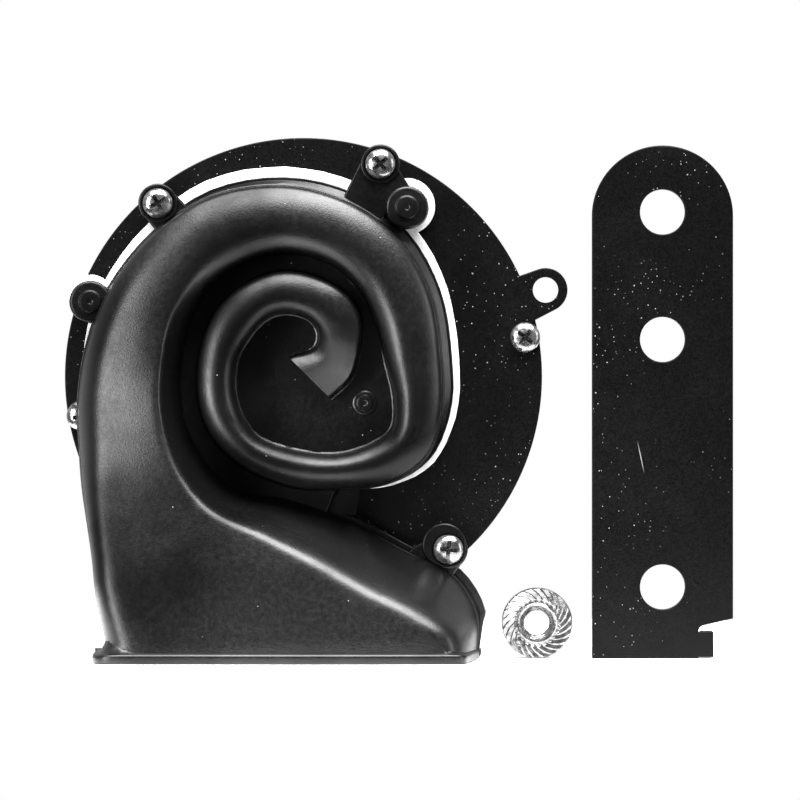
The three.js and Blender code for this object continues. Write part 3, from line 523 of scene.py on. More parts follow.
def shell_outline(gasket_share=0.0, shrink=0.0, ragged=0.0):
    """The snail's outline in X and Z: the flange's edge, or with a gasket share of 1 the gasket's."""
    points = []
    for i in range(FIRST_EXPOSED * STEPS, LAST * STEPS + 1, 2):
        width = edge_width(OUTER_EDGE, i / STEPS, gasket_share) - shrink + ragged * random.uniform(-1, 1)
        away = (OUTER[i] - INNER[i]) / np.linalg.norm(OUTER[i] - INNER[i])
        points.append(tuple(OUTER[i] + away * width))
    for i in range(LAST * STEPS, FIRST_FLARE * STEPS + STEPS // 2, -2):
        width = edge_width(INNER_EDGE, i / STEPS, gasket_share) - shrink + ragged * random.uniform(-1, 1)
        away = (INNER[i] - OUTER[i]) / np.linalg.norm(INNER[i] - OUTER[i])
        points.append(tuple(INNER[i] + away * width))
    return points


def below_mouth():
    return block(-100, 100, -100, 20, FLOOR_Z - 40, FLOOR_Z)


# ---------------------------------------------------------------- materials


class Nodes:
    """A material's node tree, with short calls for the nodes used here."""

    def __init__(self, name):
        self.material = bpy.data.materials.new(name)
        self.material.use_nodes = True
        self.tree = self.material.node_tree
        self.shader = self.tree.nodes["Principled BSDF"]
        self.place = self.tree.nodes.new("ShaderNodeTexCoord").outputs["Object"]

    def feed(self, node, inputs):
        for key, value in inputs.items():
            socket = node.inputs[key]
            if isinstance(value, bpy.types.NodeSocket):
                self.tree.links.new(value, socket)
            else:
                socket.default_value = value

    def node(self, kind, inputs, **settings):
        node = self.tree.nodes.new(kind)
        for key, value in settings.items():
            setattr(node, key, value)
        self.feed(node, inputs)
        return node

    def noise(self, scale, detail=3.0):
        inputs = {"Vector": self.place, "Scale": scale, "Detail": detail}
        return self.node("ShaderNodeTexNoise", inputs).outputs[0]

    def math(self, operation, a, b, clamp=False):
        node = self.node("ShaderNodeMath", {0: a, 1: b}, operation=operation, use_clamp=clamp)
        return node.outputs[0]

    def spread(self, value, low, high, to_low=0.0, to_high=1.0):
        inputs = {"Value": value, "From Min": low, "From Max": high, "To Min": to_low, "To Max": to_high}
        return self.node("ShaderNodeMapRange", inputs).outputs[0]

    def mix(self, factor, first, second):
        node = self.tree.nodes.new("ShaderNodeMix")
        node.data_type = "RGBA"
        self.feed(node, {0: factor, 6: first, 7: second})
        return node.outputs[2]

    def bump(self, height, distance, strength):
        inputs = {"Height": height, "Distance": distance, "Strength": strength}
        return self.node("ShaderNodeBump", inputs).outputs[0]

    def specks(self, scale, size, power=1.0, place=None):
        """Sparse round dots of different sizes, fewer of them large when the power is high."""
        cells = self.node("ShaderNodeTexVoronoi", {"Vector": place or self.place, "Scale": scale})
        limit = self.math("MULTIPLY", self.math("POWER", cells.outputs["Color"], power), size)
        near = self.math("SUBTRACT", limit, cells.outputs["Distance"])
        return self.math("MULTIPLY", near, 60.0, clamp=True)

    def on_flats(self, value):
        """The value on faces that look to the front or the back, and 0 on the others."""
        normal = self.node("ShaderNodeTexCoord", {}).outputs["Normal"]
        along = self.node("ShaderNodeSeparateXYZ", {"Vector": normal}).outputs["Y"]
        flat = self.math("GREATER_THAN", self.math("ABSOLUTE", along, 0.0), 0.9)
        return self.math("MULTIPLY", value, flat)

    def flattened(self, stretch=1.0, degrees=0.0):
        """The place on a sheet facing front, drawn out one way."""
        turn = (0.0, math.radians(degrees), 0.0)
        turned = self.node("ShaderNodeMapping", {"Vector": self.place, "Rotation": turn}).outputs[0]
        squeeze = (1.0, 0.0, 1.0 / stretch)
        return self.node("ShaderNodeMapping", {"Vector": turned, "Scale": squeeze}).outputs[0]

    def shade(self, **inputs):
        names = {key.replace("_", " "): value for key, value in inputs.items()}
        self.feed(self.shader, names)
        return self.material


def grey(level):
    return (level, level, level, 1.0)


def make_black_plastic():
    nodes = Nodes("black_plastic")
    cloud = nodes.noise(60.0)
    grain = nodes.noise(2600.0, 2.0)
    dust = nodes.specks(300.0, 0.05)
    base = nodes.mix(cloud, grey(0.001), grey(0.002))
    base = nodes.mix(nodes.math("MULTIPLY", dust, 0.6), base, grey(0.45))
    rough = nodes.spread(nodes.noise(1100.0, 3.0), 0.3, 0.7, 0.3, 0.38)
    normal = nodes.bump(grain, 0.00005, 0.6)
    sheen = nodes.spread(nodes.noise(26.0, 4.0), 0.4, 0.56, 0.2, 0.58)
    return nodes.shade(
        Base_Color=base, Roughness=rough, Normal=normal, Metallic=0.0, Specular_IOR_Level=sheen
    )


def make_black_paint():
    nodes = Nodes("black_paint")
    grain = nodes.noise(2200.0, 2.0)
    sheet = nodes.flattened()
    clusters = nodes.spread(nodes.noise(45.0), 0.45, 0.6)
    fine = nodes.math("MULTIPLY", nodes.specks(1300.0, 0.22, 2.5, sheet), clusters)
    marks = nodes.math("MAXIMUM", nodes.specks(420.0, 0.1, 6.0, sheet), fine)
    for degrees in (12.0, 68.0, 115.0):
        lines = nodes.specks(260.0, 0.07, 4.0, nodes.flattened(30.0, degrees))
        marks = nodes.math("MAXIMUM", marks, nodes.math("MULTIPLY", lines, 0.8))
    marks = nodes.on_flats(marks)
    rubbed = nodes.spread(nodes.noise(70.0, 4.0), 0.45, 0.75, 0.001, 0.004)
    base = nodes.mix(nodes.math("MULTIPLY", grain, rubbed), grey(0.0), grey(1.0))
    base = nodes.mix(nodes.math("MULTIPLY", marks, 0.5), base, grey(0.5))
    rough = nodes.spread(grain, 0.3, 0.7, 0.4, 0.5)
    normal = nodes.bump(grain, 0.00004, 0.6)
    return nodes.shade(Base_Color=base, Roughness=rough, Normal=normal, Metallic=0.0, Specular_IOR_Level=0.14)


def make_metal(name, low, high, roughness, tint=(1.0, 1.0, 1.0), metallic=0.7):
    nodes = Nodes(name)
    patch = nodes.noise(900.0, 4.0)
    first = (low * tint[0], low * tint[1], low * tint[2], 1)
    second = (high * tint[0], high * tint[1], high * tint[2], 1)
    base = nodes.mix(nodes.spread(patch, 0.35, 0.65), first, second)
    rough = nodes.spread(nodes.noise(900.0, 3.0), 0.3, 0.7, roughness - 0.06, roughness + 0.08)
    normal = nodes.bump(nodes.noise(1300.0, 3.0), 0.00007, 0.8)
    return nodes.shade(Base_Color=base, Roughness=rough, Normal=normal, Metallic=metallic)


def make_fibre(name, low, high, tint=(1.0, 1.0, 1.0)):
    nodes = Nodes(name)
    fibres = nodes.noise(1100.0, 5.0)
    patch = nodes.noise(150.0, 3.0)
    first = (low * tint[0], low * tint[1], low * tint[2], 1)
    second = (high * tint[0], high * tint[1], high * tint[2], 1)
    base = nodes.mix(nodes.spread(nodes.math("ADD", fibres, patch), 0.7, 1.3), first, second)
    rough = nodes.spread(fibres, 0.3, 0.7, 0.72, 0.92)
    normal = nodes.bump(fibres, 0.00012, 0.7)
    return nodes.shade(Base_Color=base, Roughness=rough, Normal=normal, Metallic=0.0)


MATERIALS = {
    "black_plastic": make_black_plastic(),
    "black_paint": make_black_paint(),
    "zinc_plate": make_metal("zinc_plate", 0.16, 0.42, 0.2, metallic=0.88),
    "white_seal": make_fibre("white_seal", 0.66, 0.88),
    "grey_seal": make_fibre("grey_seal", 0.07, 0.13),
    "spring_steel": make_metal("spring_steel", 0.45, 0.6, 0.28),
    "soft_steel": make_metal("soft_steel", 0.3, 0.42, 0.42),
    "copper_wire": make_metal("copper_wire", 0.8, 1.0, 0.32, (0.78, 0.36, 0.18), 0.9),
    "brass": make_metal("brass", 0.85, 1.0, 0.3, (0.72, 0.55, 0.25), 0.9),
    "phenolic": make_fibre("phenolic", 0.12, 0.2, (1.0, 0.62, 0.38)),
}


def dress(obj, name, slot, body, nodes, sharp=35):
    """Names a finished piece, shades it, ties it to its CAD body and hides the CAD nodes it stands for."""
    obj.name = name
    obj.data.name = name
    obj.data.materials.clear()
    obj.data.materials.append(MATERIALS[slot])
    obj.data.shade_smooth()
    obj.data.set_sharp_from_angle(angle=math.radians(sharp))
    weighted = obj.modifiers.new("normals", "WEIGHTED_NORMAL")
    weighted.keep_sharp = True
    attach(obj, body)
    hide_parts(*nodes)
    return obj


# ---------------------------------------------------------------- snail


def make_boss(x, z, r, recess, front):
    """A post with a rounded shoulder and a smaller raised disc on top."""
    relief = 0.22 * (r - 1.5)
    profile = [
        (0, front + 0.1),
        (0.4, front + 0.1),
        (0.6, front),
        (recess, front),
        (recess + 0.05, front + relief),
        (r - 0.5, front + relief),
        (r - 0.05, front + relief + 0.2),
        (r, front + relief + 0.7),
        (r + 0.15, SEAM_Y - 0.2),
        (0, SEAM_Y - 0.2),
    ]
    return turned("boss", rounded(profile, 0.2, 3), x, z, 64)


def make_front_shell():
    top = SEAM_Y - FLANGE_T
    body = plate("front_shell", [shell_outline()], SEAM_Y - BASE_T, SEAM_Y, 0.2)
    floor = plate("valley", [shell_outline(shrink=2.6)], top, SEAM_Y - 0.2, 0.1)
    body = join(body, [floor])
    spans = [(0, 12), (12, 24), (24, LAST)]
    for first, last in spans:
        rings = [shell_ring(i) for i in range(first * STEPS, last * STEPS + 1)]
        body = join(body, [grid_solid("span", rings)])
    lugs = []
    for number, root in LUG_ROOTS.items():
        x, z = screw_place(number)
        lugs.append(plate("lug", [hull((x, z, LUG_R), root)], top, SEAM_Y, 0.4))
        lugs.append(rod(x, z, LUG_R - 0.2, top + 0.5, SEAM_Y + 2))
        lugs.append(plate("post", [circle(x, z, LUG_R + 0.1)], top - 0.7, SEAM_Y - 0.3, 0.25))
    lugs.append(plate("post", [circle(*LOW_POST)], top - 1.0, SEAM_Y - 0.3, 0.45))
    lugs.append(plate("web", [NOTCH], SEAM_Y - BASE_T - 0.02, SEAM_Y, 0.0001))
    x, z = screw_place(2)
    lugs.append(plate("web", [hull((x, z, 2.6), (BOSSES[1]["x"], BOSSES[1]["z"], 2.6))], top, SEAM_Y, 0.3))
    corner = (BOSSES[0]["x"], BOSSES[0]["z"])
    lugs.append(plate("ear", [hull((*corner, 4.1), (-38.0, 13.0, 3.6))], top, SEAM_Y, 0.3))
    bosses = [make_boss(**boss) for boss in BOSSES]
    body = join(body, lugs + bosses + [make_lip()])
    rings = [channel_ring(i) for i in range(STEPS, LAST * STEPS + 1, 2)]
    tools = [grid_solid("channel", rings), below_mouth(), lip_corner()]
    tools += bolt_holes(-80, 0, BOLT_HOLE_R, LUG_SCREWS)
    tools += bolt_holes(-80, top, SCREW_HEAD_R + GAP, LUG_SCREWS)
    body = cut(body, tools)
    dress(body, "front_shell_skin", "black_plastic", "horn", ["front_shell"], 40)


def make_lip():
    """The rolled bead round the mouth, which flares further out at the left."""
    index = round((LAST - 0.25) * STEPS)
    path = resampled(section_path(index, 0.0, 4), 90)
    low, high = path[:, 0].min(), path[:, 0].max()
    centre, half = (low + high) / 2, (high - low) / 2
    height = path[:, 2].max()
    # How far the bead stands out at the left, the front and the right, and how high, counted in beads.
    profile = [
        (0.0, 0.0, 0.0, 0.0),
        (0.8, 0.85, 0.0, 0.0),
        (0.93, 0.96, 0.3, 0.05),
        (1.0, 1.0, 0.6, 0.16),
        (1.0, 1.0, 0.6, 0.55),
        (0.95, 0.96, 0.6, 0.74),
        (0.82, 0.8, 0.4, 0.86),
        (0.6, 0.4, 0.1, 0.93),
        (0.42, -0.5, -0.5, 1.05),
        (0.2, -1.5, -5.0, 1.6),
        (0.05, -3.0, -7.0, 2.4),
        (-0.1, -3.0, -7.0, 3.4),
    ]
    rings = []
    for left, front, right, rise in profile:
        ring = []
        for x, _, h in path:
            proud = left * LIP_PROUD_LEFT if x < centre else right * LIP_PROUD
            up = SEAM_Y - max(h, 0.0) * (height + front * LIP_PROUD) / height
            ring.append((centre + (x - centre) * (half + proud) / half, up, FLOOR_Z + LIP_T * rise))
        first, last = ring[0], ring[-1]
        rings.append([(first[0], SEAM_Y, first[2]), *ring[1:-1], (last[0], SEAM_Y, last[2])])
    return grid_solid("lip", rings)


def lip_corner():
    """What rounds off the mouth's lower right corner, to cut away."""
    x, z, r = INNER[round((LAST - 0.25) * STEPS)][0] + LIP_PROUD, FLOOR_Z, LIP_CORNER_R
    arc = [(x - r + r * math.sin(a), z + r - r * math.cos(a)) for a in np.linspace(0, math.pi / 2, 9)]
    return plate("corner", [[(x + 2, z - 2), (x - r, z - 2), *arc, (x + 2, z + r)]], -60, 0, 0.0001)


def make_back_shell():
    front, rear = box_mm("back_shell")[0].y, box_mm("back_shell")[1].y - LIP_PROUD
    body = plate("back_shell", [shell_outline()], front, rear, 0.25)
    ears = [plate("ear", [circle(b["x"], b["z"], b["r"])], front, rear, 0.25) for b in BOSSES[:2]]
    mouth = round((LAST - 0.25) * STEPS)
    low, high = OUTER[mouth][0] - LIP_PROUD_LEFT, INNER[mouth][0] + LIP_PROUD
    lip = block(low, high, front, rear + LIP_PROUD, FLOOR_Z, FLOOR_Z + LIP_T, 0.4)
    body = join(body, ears + [lip])
    tools = [rod(6.2, 3.8, 2.8, -40, 0), below_mouth(), lip_corner()]
    tools += bolt_holes(-80, 0, LUG_R + GAP, LUG_SCREWS)
    tools += bolt_holes(front + 0.4, 0, SCREW_HEAD_R + GAP, [1, 4, 5])
    body = cut(body, tools)
    dress(body, "back_shell_skin", "black_plastic", "horn", ["back_shell"])


def make_gasket():
    front, rear = box_mm("horn_gasket")[0].y, box_mm("horn_gasket")[1].y
    body = plate("gasket", [shell_outline(1.0, ragged=0.07)], front, rear, 0.12)
    ears = []
    for boss, (lift, proud) in zip(BOSSES, EAR_GASKETS):
        ears.append(plate("ear", [circle(boss["x"], boss["z"] + lift, boss["r"] + proud)], front, rear, 0.12))
    body = join(body, ears)
    body = boolean(body, "INTERSECT", [rod(0, 0, PLATE_R + 2.5, front - 1, 0, 128)])
    tools = [rod(0, 0, 13.0, -40, 0, 64), block(-60, 60, -30, -10, FLOOR_Z - 5, FLOOR_Z + LIP_T + GAP)]
    tools += bolt_holes(-80, 0, BOLT_HOLE_R, LUG_SCREWS)
    tools += bolt_holes(-80, 0, SCREW_HEAD_R + GAP, [1, 4, 5])
    body = cut(body, tools)
    dress(body, "horn_gasket_skin", "white_seal", "horn", ["horn_gasket"])


# ---------------------------------------------------------------- plate, rim and screws


def make_front_plate():
    front, rear = PLATE_LOW.y, PLATE_HIGH.y
    disc = plate("plate", [circle(0, 0, PLATE_R, 240), circle(0, 0, PLATE_THROAT_R, 96)], front, rear, 0.22)
    (x1, z1), (x0, z0) = TAB_ROOTS
    outline = hull((x0 * 0.97, z0 * 0.97, 0.6), (x1 * 0.97, z1 * 0.97, 0.6), (*TAB_CENTRE, TAB_END_R))
    tab = plate("tab", [outline], front, rear, 0.22)
    body = cut(join(disc, [tab]), bolt_holes(-40, 0) + [rod(*TAB_CENTRE, TAB_HOLE_R, -40, 0)])
    dress(body, "front_plate_skin", "black_paint", "horn", ["front_plate"])


def make_rim():
    for node in ("rim_gasket_front", "rim_gasket_rear"):
        low, high = box_mm(node)
        corners = [
            (40.0, low.y),
            (RIM_GASKET_INNER_R, low.y),
            (RIM_GASKET_INNER_R, high.y),
            (high.x, high.y),
            (high.x, low.y),
        ]
        profile = rounded(corners, 0.1, 2)
        body = cut(turned(node, profile[:-1], segments=160), bolt_holes(-40, 0))
        dress(body, node + "_skin", "grey_seal", "horn", [node])


def make_recess(x, z, top, degrees):
    """A cross recess with four tapered arms."""
    wide, narrow = (1.8, 0.4), (0.7, 0.28)
    made = []
    for extra in (0, 90):
        rings = []
        for (half, side), y in ((wide, top - 1), (wide, top + 0.5), (narrow, top + 1.9)):
            rings.append([(-half, y, -side), (half, y, -side), (half, y, side), (-half, y, side)])
        tool = grid_solid("arm", rings)
        turn = Matrix.Rotation(math.radians(degrees + extra), 4, "Y")
        tool.data.transform(Matrix.Translation(Vector((x, 0, z)) * MM) @ turn)
        made.append(tool)
    return made


def make_rim_screws():
    for number, degrees in enumerate(BOLT_ANGLES, 1):
        low, high = box_mm(f"rim_screw_{number}")
        x, z = screw_place(number)
        head = (high.x - low.x) / 2
        seat = low.y + SCREW_HEAD_T
        profile = [(0, low.y)]
        dome = 10
        for i in range(1, dome + 1):
            angle = math.pi / 2 * i / dome
            profile.append((head * math.sin(angle), low.y + 1.7 * (1 - math.cos(angle) ** 0.8)))
        profile += [
            (head, seat - 0.15),
            (head - 0.15, seat),
            (SHANK_R, seat),
            (SHANK_R, high.y - 0.8),
            (SHANK_R - 0.6, high.y),
            (0, high.y),
        ]
        body = turned("screw", profile, x, z, 64)
        body = cut(body, make_recess(x, z, low.y, degrees * 1.7 + 20))
        dress(body, f"rim_screw_{number}_skin", "zinc_plate", "horn", [f"rim_screw_{number}"], 30)


# ---------------------------------------------------------------- back of the horn


def thread(name, x, z, crest, root, pitch, front, rear, chamfer=0.0):
    """A rod along Y with a helical thread."""
    sides = 48
    per_turn = 8
    rows = round((rear - front) / pitch * per_turn)
    rings = []
    for row in range(rows + 1):
        y = front + (rear - front) * row / rows
        taper = max(0.0, chamfer - min(y - front, rear - y)) if chamfer else 0.0
        ring = []
        for i in range(sides):
            turn = i / sides
            phase = (y / pitch - turn) % 1.0
            depth = abs(2 * phase - 1)
            r = min(root + (crest - root) * (1 - depth) * 1.15, crest) - taper
            ring.append((x + r * math.cos(2 * math.pi * turn), y, z + r * math.sin(2 * math.pi * turn)))
        rings.append(ring)
    return grid_solid(name, rings)


def make_can():
    low, high = box_mm("driver_can")
    flange_r, wall, drum = high.x, 1.2, 37.8
    seat_r, rear = 9.0, -1.6
    flange_rear = low.y + wall
    outside = [
        (3.3, high.y),
        (seat_r, high.y),
        (seat_r + 1.5, rear),
        (19.0, rear),
        (20.0, rear - 0.5),
        (33.0, rear - 0.5),
        (drum - 1.1, rear - 1.1),
        (drum, rear - 3.6),
        (drum, flange_rear),
        (flange_r, flange_rear),
        (flange_r, low.y),
    ]
    inside = [
        (drum - wall, low.y),
        (drum - wall, rear - 3.9),
        (drum - wall - 1.0, rear - 2.1),
        (33.0, rear - wall - 0.5),
        (20.0, rear - wall - 0.5),
        (19.0, rear - wall),
        (seat_r + 0.9, rear - wall),
        (seat_r - 0.6, -wall),
        (3.3, -wall),
    ]
    profile = rounded(outside + inside, 0.6, 4)
    body = turned("can", profile, segments=192)
    holes = bolt_holes(-40, 0)
    for node in ("contact_rivet", "adjusting_screw", "terminal_rivet_1", "terminal_rivet_2"):
        centre = middle_of(node)
        holes.append(rod(centre.x, centre.z, 2.4 if node == "adjusting_screw" else 1.8, -10, 5))
    dress(cut(body, holes), "driver_can_skin", "black_paint", "horn", ["driver_can"])


def make_stud():
    low, high = box_mm("mounting_stud")
    body = thread("stud", 0, 0, 2.98, 2.45, 1.0, low.y, high.y, 0.7)
    dress(body, "mounting_stud_skin", "zinc_plate", "horn", ["mounting_stud"], 25)


def make_adjuster():
    low, high = box_mm("adjusting_screw")
    x = middle_of("adjusting_screw").x
    head = (high.x - low.x) / 2
    seat = high.y - 2.2
    profile = [(0, seat - 1), (2.0, seat - 1), (2.0, seat), (head, seat), (head, high.y - 0.5)]
    profile += [(head - 0.7, high.y), (0, high.y)]
    body = turned("adjuster", rounded(profile, 0.2, 3), x, 0, 64)
    body = join(body, [thread("shank", x, 0, 1.98, 1.6, 0.7, low.y, seat - 0.5, 0.5)])
    body = cut(body, [block(x - 5, x + 5, high.y - 1.1, high.y + 2, -0.5, 0.5)])
    dress(body, "adjusting_screw_skin", "zinc_plate", "adjuster", ["adjusting_screw"], 30)


def make_terminals():
    low, high = box_mm("terminal_block")
    outline = hull(*[(x, z, 1.0) for x in (low.x + 1, high.x - 1) for z in (low.z + 1, high.z - 1)])
    body = plate("terminal_block", [outline], low.y, high.y, 0.35)
    holes = [rivet_hole(number) for number in (1, 2)]
    rib = block(-0.6, 0.6, high.y - 0.4, high.y + 2.2, low.z + 1, high.z - 1, 0.2)
    body = join(cut(body, holes), [rib])
    dress(body, "terminal_block_skin", "black_plastic", "horn", ["terminal_block"])
    for i, pole in enumerate(("plus", "minus"), 1):
        make_blade(pole, i)
    for node in ("terminal_rivet_1", "terminal_rivet_2", "contact_rivet"):
        make_rivet(node)


def rivet_hole(number):
    """What clears the shank of a terminal's rivet, to cut away."""
    centre = middle_of(f"terminal_rivet_{number}")
    return rod(centre.x, centre.z, 1.8, -5, 10)


def make_blade(pole, number):
    """A flat foot under the rivet and a blade with a hole, turned up from it."""
    low, high = box_mm(f"terminal_blade_{pole}")
    thick = 0.8
    corners = [(x, z, 0.5) for x in (low.x + 0.5, high.x - 0.5) for z in (low.z + 0.5, high.z - 0.5)]
    foot = plate("foot", [hull(*corners)], low.y, low.y + thick, 0.1)
    tip = hull(
        (low.x + 0.4, low.y + 0.4, 0.4),
        (high.x - 0.4, low.y + 0.4, 0.4),
        (low.x + 1.4, high.y - 0.4, 0.4),
        (high.x - 1.4, high.y - 0.4, 0.4),
    )
    x = (low.x + high.x) / 2
    blade = plate("blade", [tip, circle(x, high.y - 2.6, 0.75, 24)], 0, thick, 0.1)
    mirrored = Matrix.Scale(-1, 4, (0, 0, 1))
    stood_up = Matrix.Rotation(-math.pi / 2, 4, "X")
    blade.data.transform(Matrix.Translation((0, 0, high.z * MM)) @ stood_up @ mirrored)
    close_up(blade)
    body = join(foot, [blade])
    body = cut(body, [rod(x, middle_of(f"terminal_rivet_{number}").z, 1.8, -5, 10)])
    dress(body, f"terminal_blade_{pole}_skin", "brass", "horn", [f"terminal_blade_{pole}"])


def make_rivet(node):
    low, high = box_mm(node)
    centre = middle_of(node)
    head = (high.x - low.x) / 2
    profile = [
        (0, low.y + 0.25),
        (head - 0.1, low.y + 0.25),
        (head - 0.1, low.y + 0.7),
        (1.45, low.y + 0.7),
        (1.45, high.y - 0.75),
        (head - 0.1, high.y - 0.75),
        (head - 0.35, high.y - 0.25),
        (1.2, high.y),
        (0, high.y - 0.15),
    ]
    body = turned(node, rounded(profile, 0.15, 3), centre.x, centre.z, 48)
    dress(body, node + "_skin", "zinc_plate", "horn", [node], 30)


# ---------------------------------------------------------------- loose pieces


STRAP_T = 2.5
STRAP_HOLE_R = 4.5
STRAP_HOLES = (14.3, 63.8, 89.3)  # heights of the holes above the strap's lower end


def make_bracket():
    low, high = box_mm("bracket")
    centre, half = (low.x + high.x) / 2, (high.x - low.x) / 2
    front, rear = low.y, low.y + STRAP_T
    arch = high.z - half
    # The strap's foot: the bent tab's step, with a rounded notch above it.
    outline = [
        (low.x, low.z),
        (centre + 7.2, low.z),
        (centre + 7.2, low.z + 0.3),
        (centre + 10.2, low.z + 0.3),
        (centre + 10.2, low.z + 5.3),
        (centre + 7.2, low.z + 5.3),
    ]
    for i in range(7):
        angle = math.pi - math.pi / 2 * i / 6
        outline.append((centre + 8.6 + 1.4 * math.cos(angle), low.z + 5.5 + 1.2 * math.sin(angle)))
    outline.append((high.x, low.z + 8.0))
    for i in range(65):
        angle = math.pi * i / 64
        outline.append((centre + half * math.cos(angle), arch + half * math.sin(angle)))
    holes = [circle(centre, low.z + height, STRAP_HOLE_R, 72) for height in STRAP_HOLES]
    body = plate("bracket", [outline] + holes, front, rear, 0.25)
    tab = block(centre + 7.7, centre + 10.2, rear - 1, high.y, low.z + 0.3, low.z + 5.3, 0.25)
    body = join(body, [tab])
    dress(body, "bracket_skin", "black_paint", "bracket", ["bracket"])


NUT_ACROSS_FLATS = 10.0
NUT_TEETH = 24
TOOTH_DEPTH = 0.15


def make_nut():
    low, high = box_mm("flange_nut")
    centre = middle_of("flange_nut")
    flange = (high.x - low.x) / 2
    per_tooth = 8
    sides = NUT_TEETH * per_tooth
    face = low.y
    rings = []
    collar = {3.2: 0.4, 3.45: 0.05, 3.8: 0.0, 4.0: 0.14, 4.55: 0.16}
    radii = [*collar, 4.7, 5.1, 5.6, 6.1, 6.6, 6.85]
    for r in radii:
        swirl = 0.2 * (r - radii[0])
        ring = []
        for i in range(sides):
            phase = (i % per_tooth) / per_tooth
            groove = TOOTH_DEPTH * phase if phase < 0.8 else TOOTH_DEPTH * (1 - phase) * 4
            depth = collar.get(r, 0.02 + groove)
            angle = 2 * math.pi * i / sides + swirl
            ring.append((centre.x + r * math.cos(angle), face + depth, centre.z + r * math.sin(angle)))
        rings.append(ring)
    back = (
        (flange, face + 0.45),
        (flange, face + 1.0),
        (flange - 0.4, face + 1.3),
        (5.3, face + 2.0),
        (3.2, face + 2.2),
    )
    for r, y in back:
        angles = [2 * math.pi * i / sides + swirl for i in range(sides)]
        rings.append([(centre.x + r * math.cos(a), y, centre.z + r * math.sin(a)) for a in angles])
    body = grid_solid("nut", rings)
    corner = NUT_ACROSS_FLATS / math.sqrt(3)
    turns = [math.pi / 3 * i for i in range(6)]
    hexagon = [(centre.x + corner * math.cos(a), centre.z + corner * math.sin(a)) for a in turns]
    prism = plate("hex", [hexagon], face + 1, high.y, 0.15)
    cone_profile = [
        (0, face),
        (corner + 1.0, face),
        (corner + 1.0, high.y - 1.3),
        (corner - 0.9, high.y),
        (0, high.y),
    ]
    cone = turned("cone", cone_profile, centre.x, centre.z, 64)
    prism = boolean(prism, "INTERSECT", [cone])
    body = join(body, [prism])
    sink_profile = [(0, face - 1), (3.3, face - 1), (3.3, face + 0.7), (2.7, face + 1.3), (0, face + 1.3)]
    sink = turned("sink", sink_profile, centre.x, centre.z, 64)
    bore = thread("bore", centre.x, centre.z, 3.0, 2.5, 1.0, face - 1, high.y + 1)
    body = cut(body, [sink, bore])
    dress(body, "flange_nut_skin", "zinc_plate", "nut", ["flange_nut"], 25)


# ---------------------------------------------------------------- carried-over CAD nodes


def finish_cad_nodes():
    slots = {part["node"]: part["material_slot"] for part in frame["record"]["subparts"]}
    for name, obj in frame["nodes"].items():
        if obj.hide_render:
            continue
        obj.data.materials.clear()
        obj.data.materials.append(MATERIALS[slots[name]])


# ---------------------------------------------------------------- studio

FLOOR_R = 160.0
FLOOR_CENTRE_X = 20.0
FLOOR_CENTRE_Y = 60.0


def make_floor():
    """A round white table under the objects."""
    edge = [(FLOOR_CENTRE_X + x, FLOOR_CENTRE_Y + y, FLOOR_Z) for x, y in circle(0, 0, FLOOR_R, 96)]
    mesh = bpy.data.meshes.new("floor")
    mesh.from_pydata([Vector(point) * MM for point in edge], [], [tuple(range(len(edge)))])
    floor = bpy.data.objects.new("floor", mesh)
    bpy.context.scene.collection.objects.link(floor)
    nodes = Nodes("pale_floor")
    tone = nodes.mix(nodes.noise(3.0), grey(0.86), grey(0.9))
    nodes.shade(Base_Color=tone, Roughness=0.9, Emission_Color=grey(1.0), Emission_Strength=0.35)
    mesh.materials.append(nodes.material)


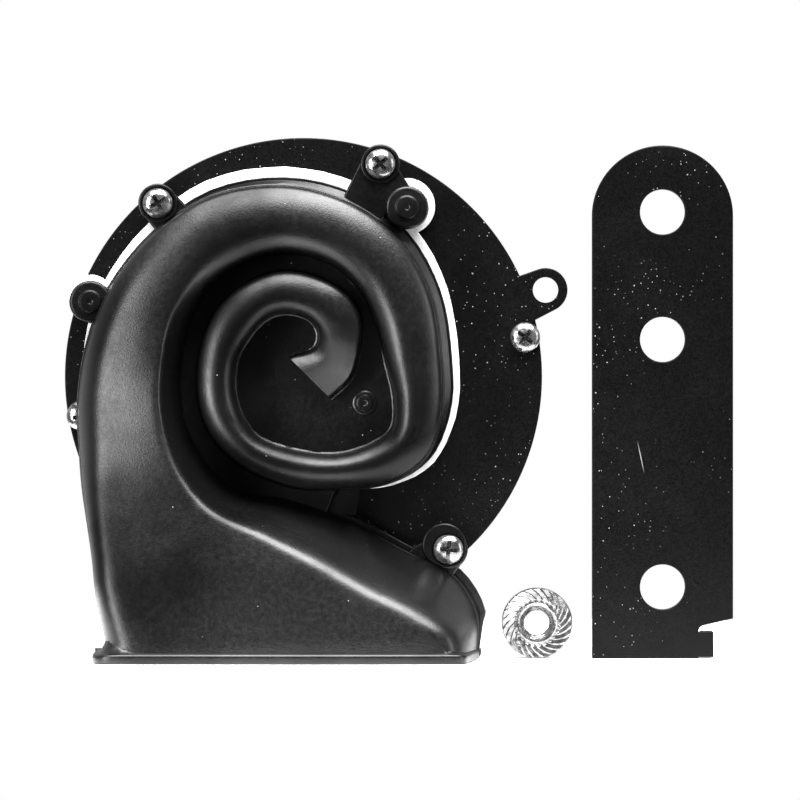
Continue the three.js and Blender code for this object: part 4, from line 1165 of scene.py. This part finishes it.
def make_world():
    """Plain white to the eye, an even soft light on matt surfaces, and for reflections bright behind and
    beside the object and dark on the viewer's side."""
    world = bpy.data.worlds.new("studio")
    bpy.context.scene.world = world
    world.use_nodes = True
    tree = world.node_tree
    tree.nodes.clear()
    add, link = tree.nodes.new, tree.links.new
    where, split, ramp = add("ShaderNodeTexCoord"), add("ShaderNodeSeparateXYZ"), add("ShaderNodeMapRange")
    link(where.outputs["Generated"], split.inputs[0])
    link(split.outputs["Y"], ramp.inputs["Value"])
    ramp.interpolation_type = "SMOOTHSTEP"
    for socket, value in (("From Min", -0.7), ("From Max", 0.6), ("To Min", 0.02), ("To Max", 0.5)):
        ramp.inputs[socket].default_value = value
    path, out = add("ShaderNodeLightPath"), add("ShaderNodeOutputWorld")
    even, glossy, seen = (add("ShaderNodeBackground") for _ in range(3))
    even.inputs["Strength"].default_value = 0.6
    link(ramp.outputs[0], glossy.inputs["Strength"])
    seen.inputs["Strength"].default_value = 1.0
    for background in (even, glossy, seen):
        background.inputs["Color"].default_value = grey(1.0)
    first, second = add("ShaderNodeMixShader"), add("ShaderNodeMixShader")
    link(path.outputs["Is Glossy Ray"], first.inputs[0])
    link(even.outputs[0], first.inputs[1])
    link(glossy.outputs[0], first.inputs[2])
    link(path.outputs["Is Camera Ray"], second.inputs[0])
    link(first.outputs[0], second.inputs[1])
    link(seen.outputs[0], second.inputs[2])
    link(second.outputs[0], out.inputs[0])


def soft_box(name, place, aim, width, height, power):
    data = bpy.data.lights.new(name, "AREA")
    data.shape = "RECTANGLE"
    data.size, data.size_y, data.energy = width, height, power
    light = bpy.data.objects.new(name, data)
    bpy.context.scene.collection.objects.link(light)
    light.location = place
    light.rotation_mode = "QUATERNION"
    light.rotation_quaternion = (Vector(aim) - Vector(place)).to_track_quat("-Z", "Y")


def make_studio():
    make_floor()
    make_world()
    centre = (0.0, -0.03, 0.0)
    soft_box("overhead", (0.05, -0.35, 0.84), centre, 1.0, 0.7, 45.0)
    soft_box("left", (-0.68, -0.66, 0.05), centre, 0.3, 0.7, 10.5)
    soft_box("right", (0.85, -0.3, 0.1), centre, 0.2, 0.6, 2.0)


VIEW_DEGREES = 7.04
VIEW_PLACE = (19.3, -1322.0, -4.7)


def make_camera():
    data = bpy.data.cameras.new("camera")
    data.sensor_width = 36.0
    data.lens = data.sensor_width / 2 / math.tan(math.radians(VIEW_DEGREES) / 2)
    data.clip_start, data.clip_end = 0.01, 20.0
    camera = bpy.data.objects.new("camera", data)
    bpy.context.scene.collection.objects.link(camera)
    camera.location = Vector(VIEW_PLACE) * MM
    camera.rotation_euler = (math.pi / 2, 0, 0)
    bpy.context.scene.camera = camera


make_camera()
make_front_shell()
make_back_shell()
make_gasket()
make_front_plate()
make_rim()
make_rim_screws()
make_can()
make_stud()
make_adjuster()
make_terminals()
make_bracket()
make_nut()
finish_cad_nodes()
make_studio()
bpy.context.scene.view_settings.view_transform = "Standard"
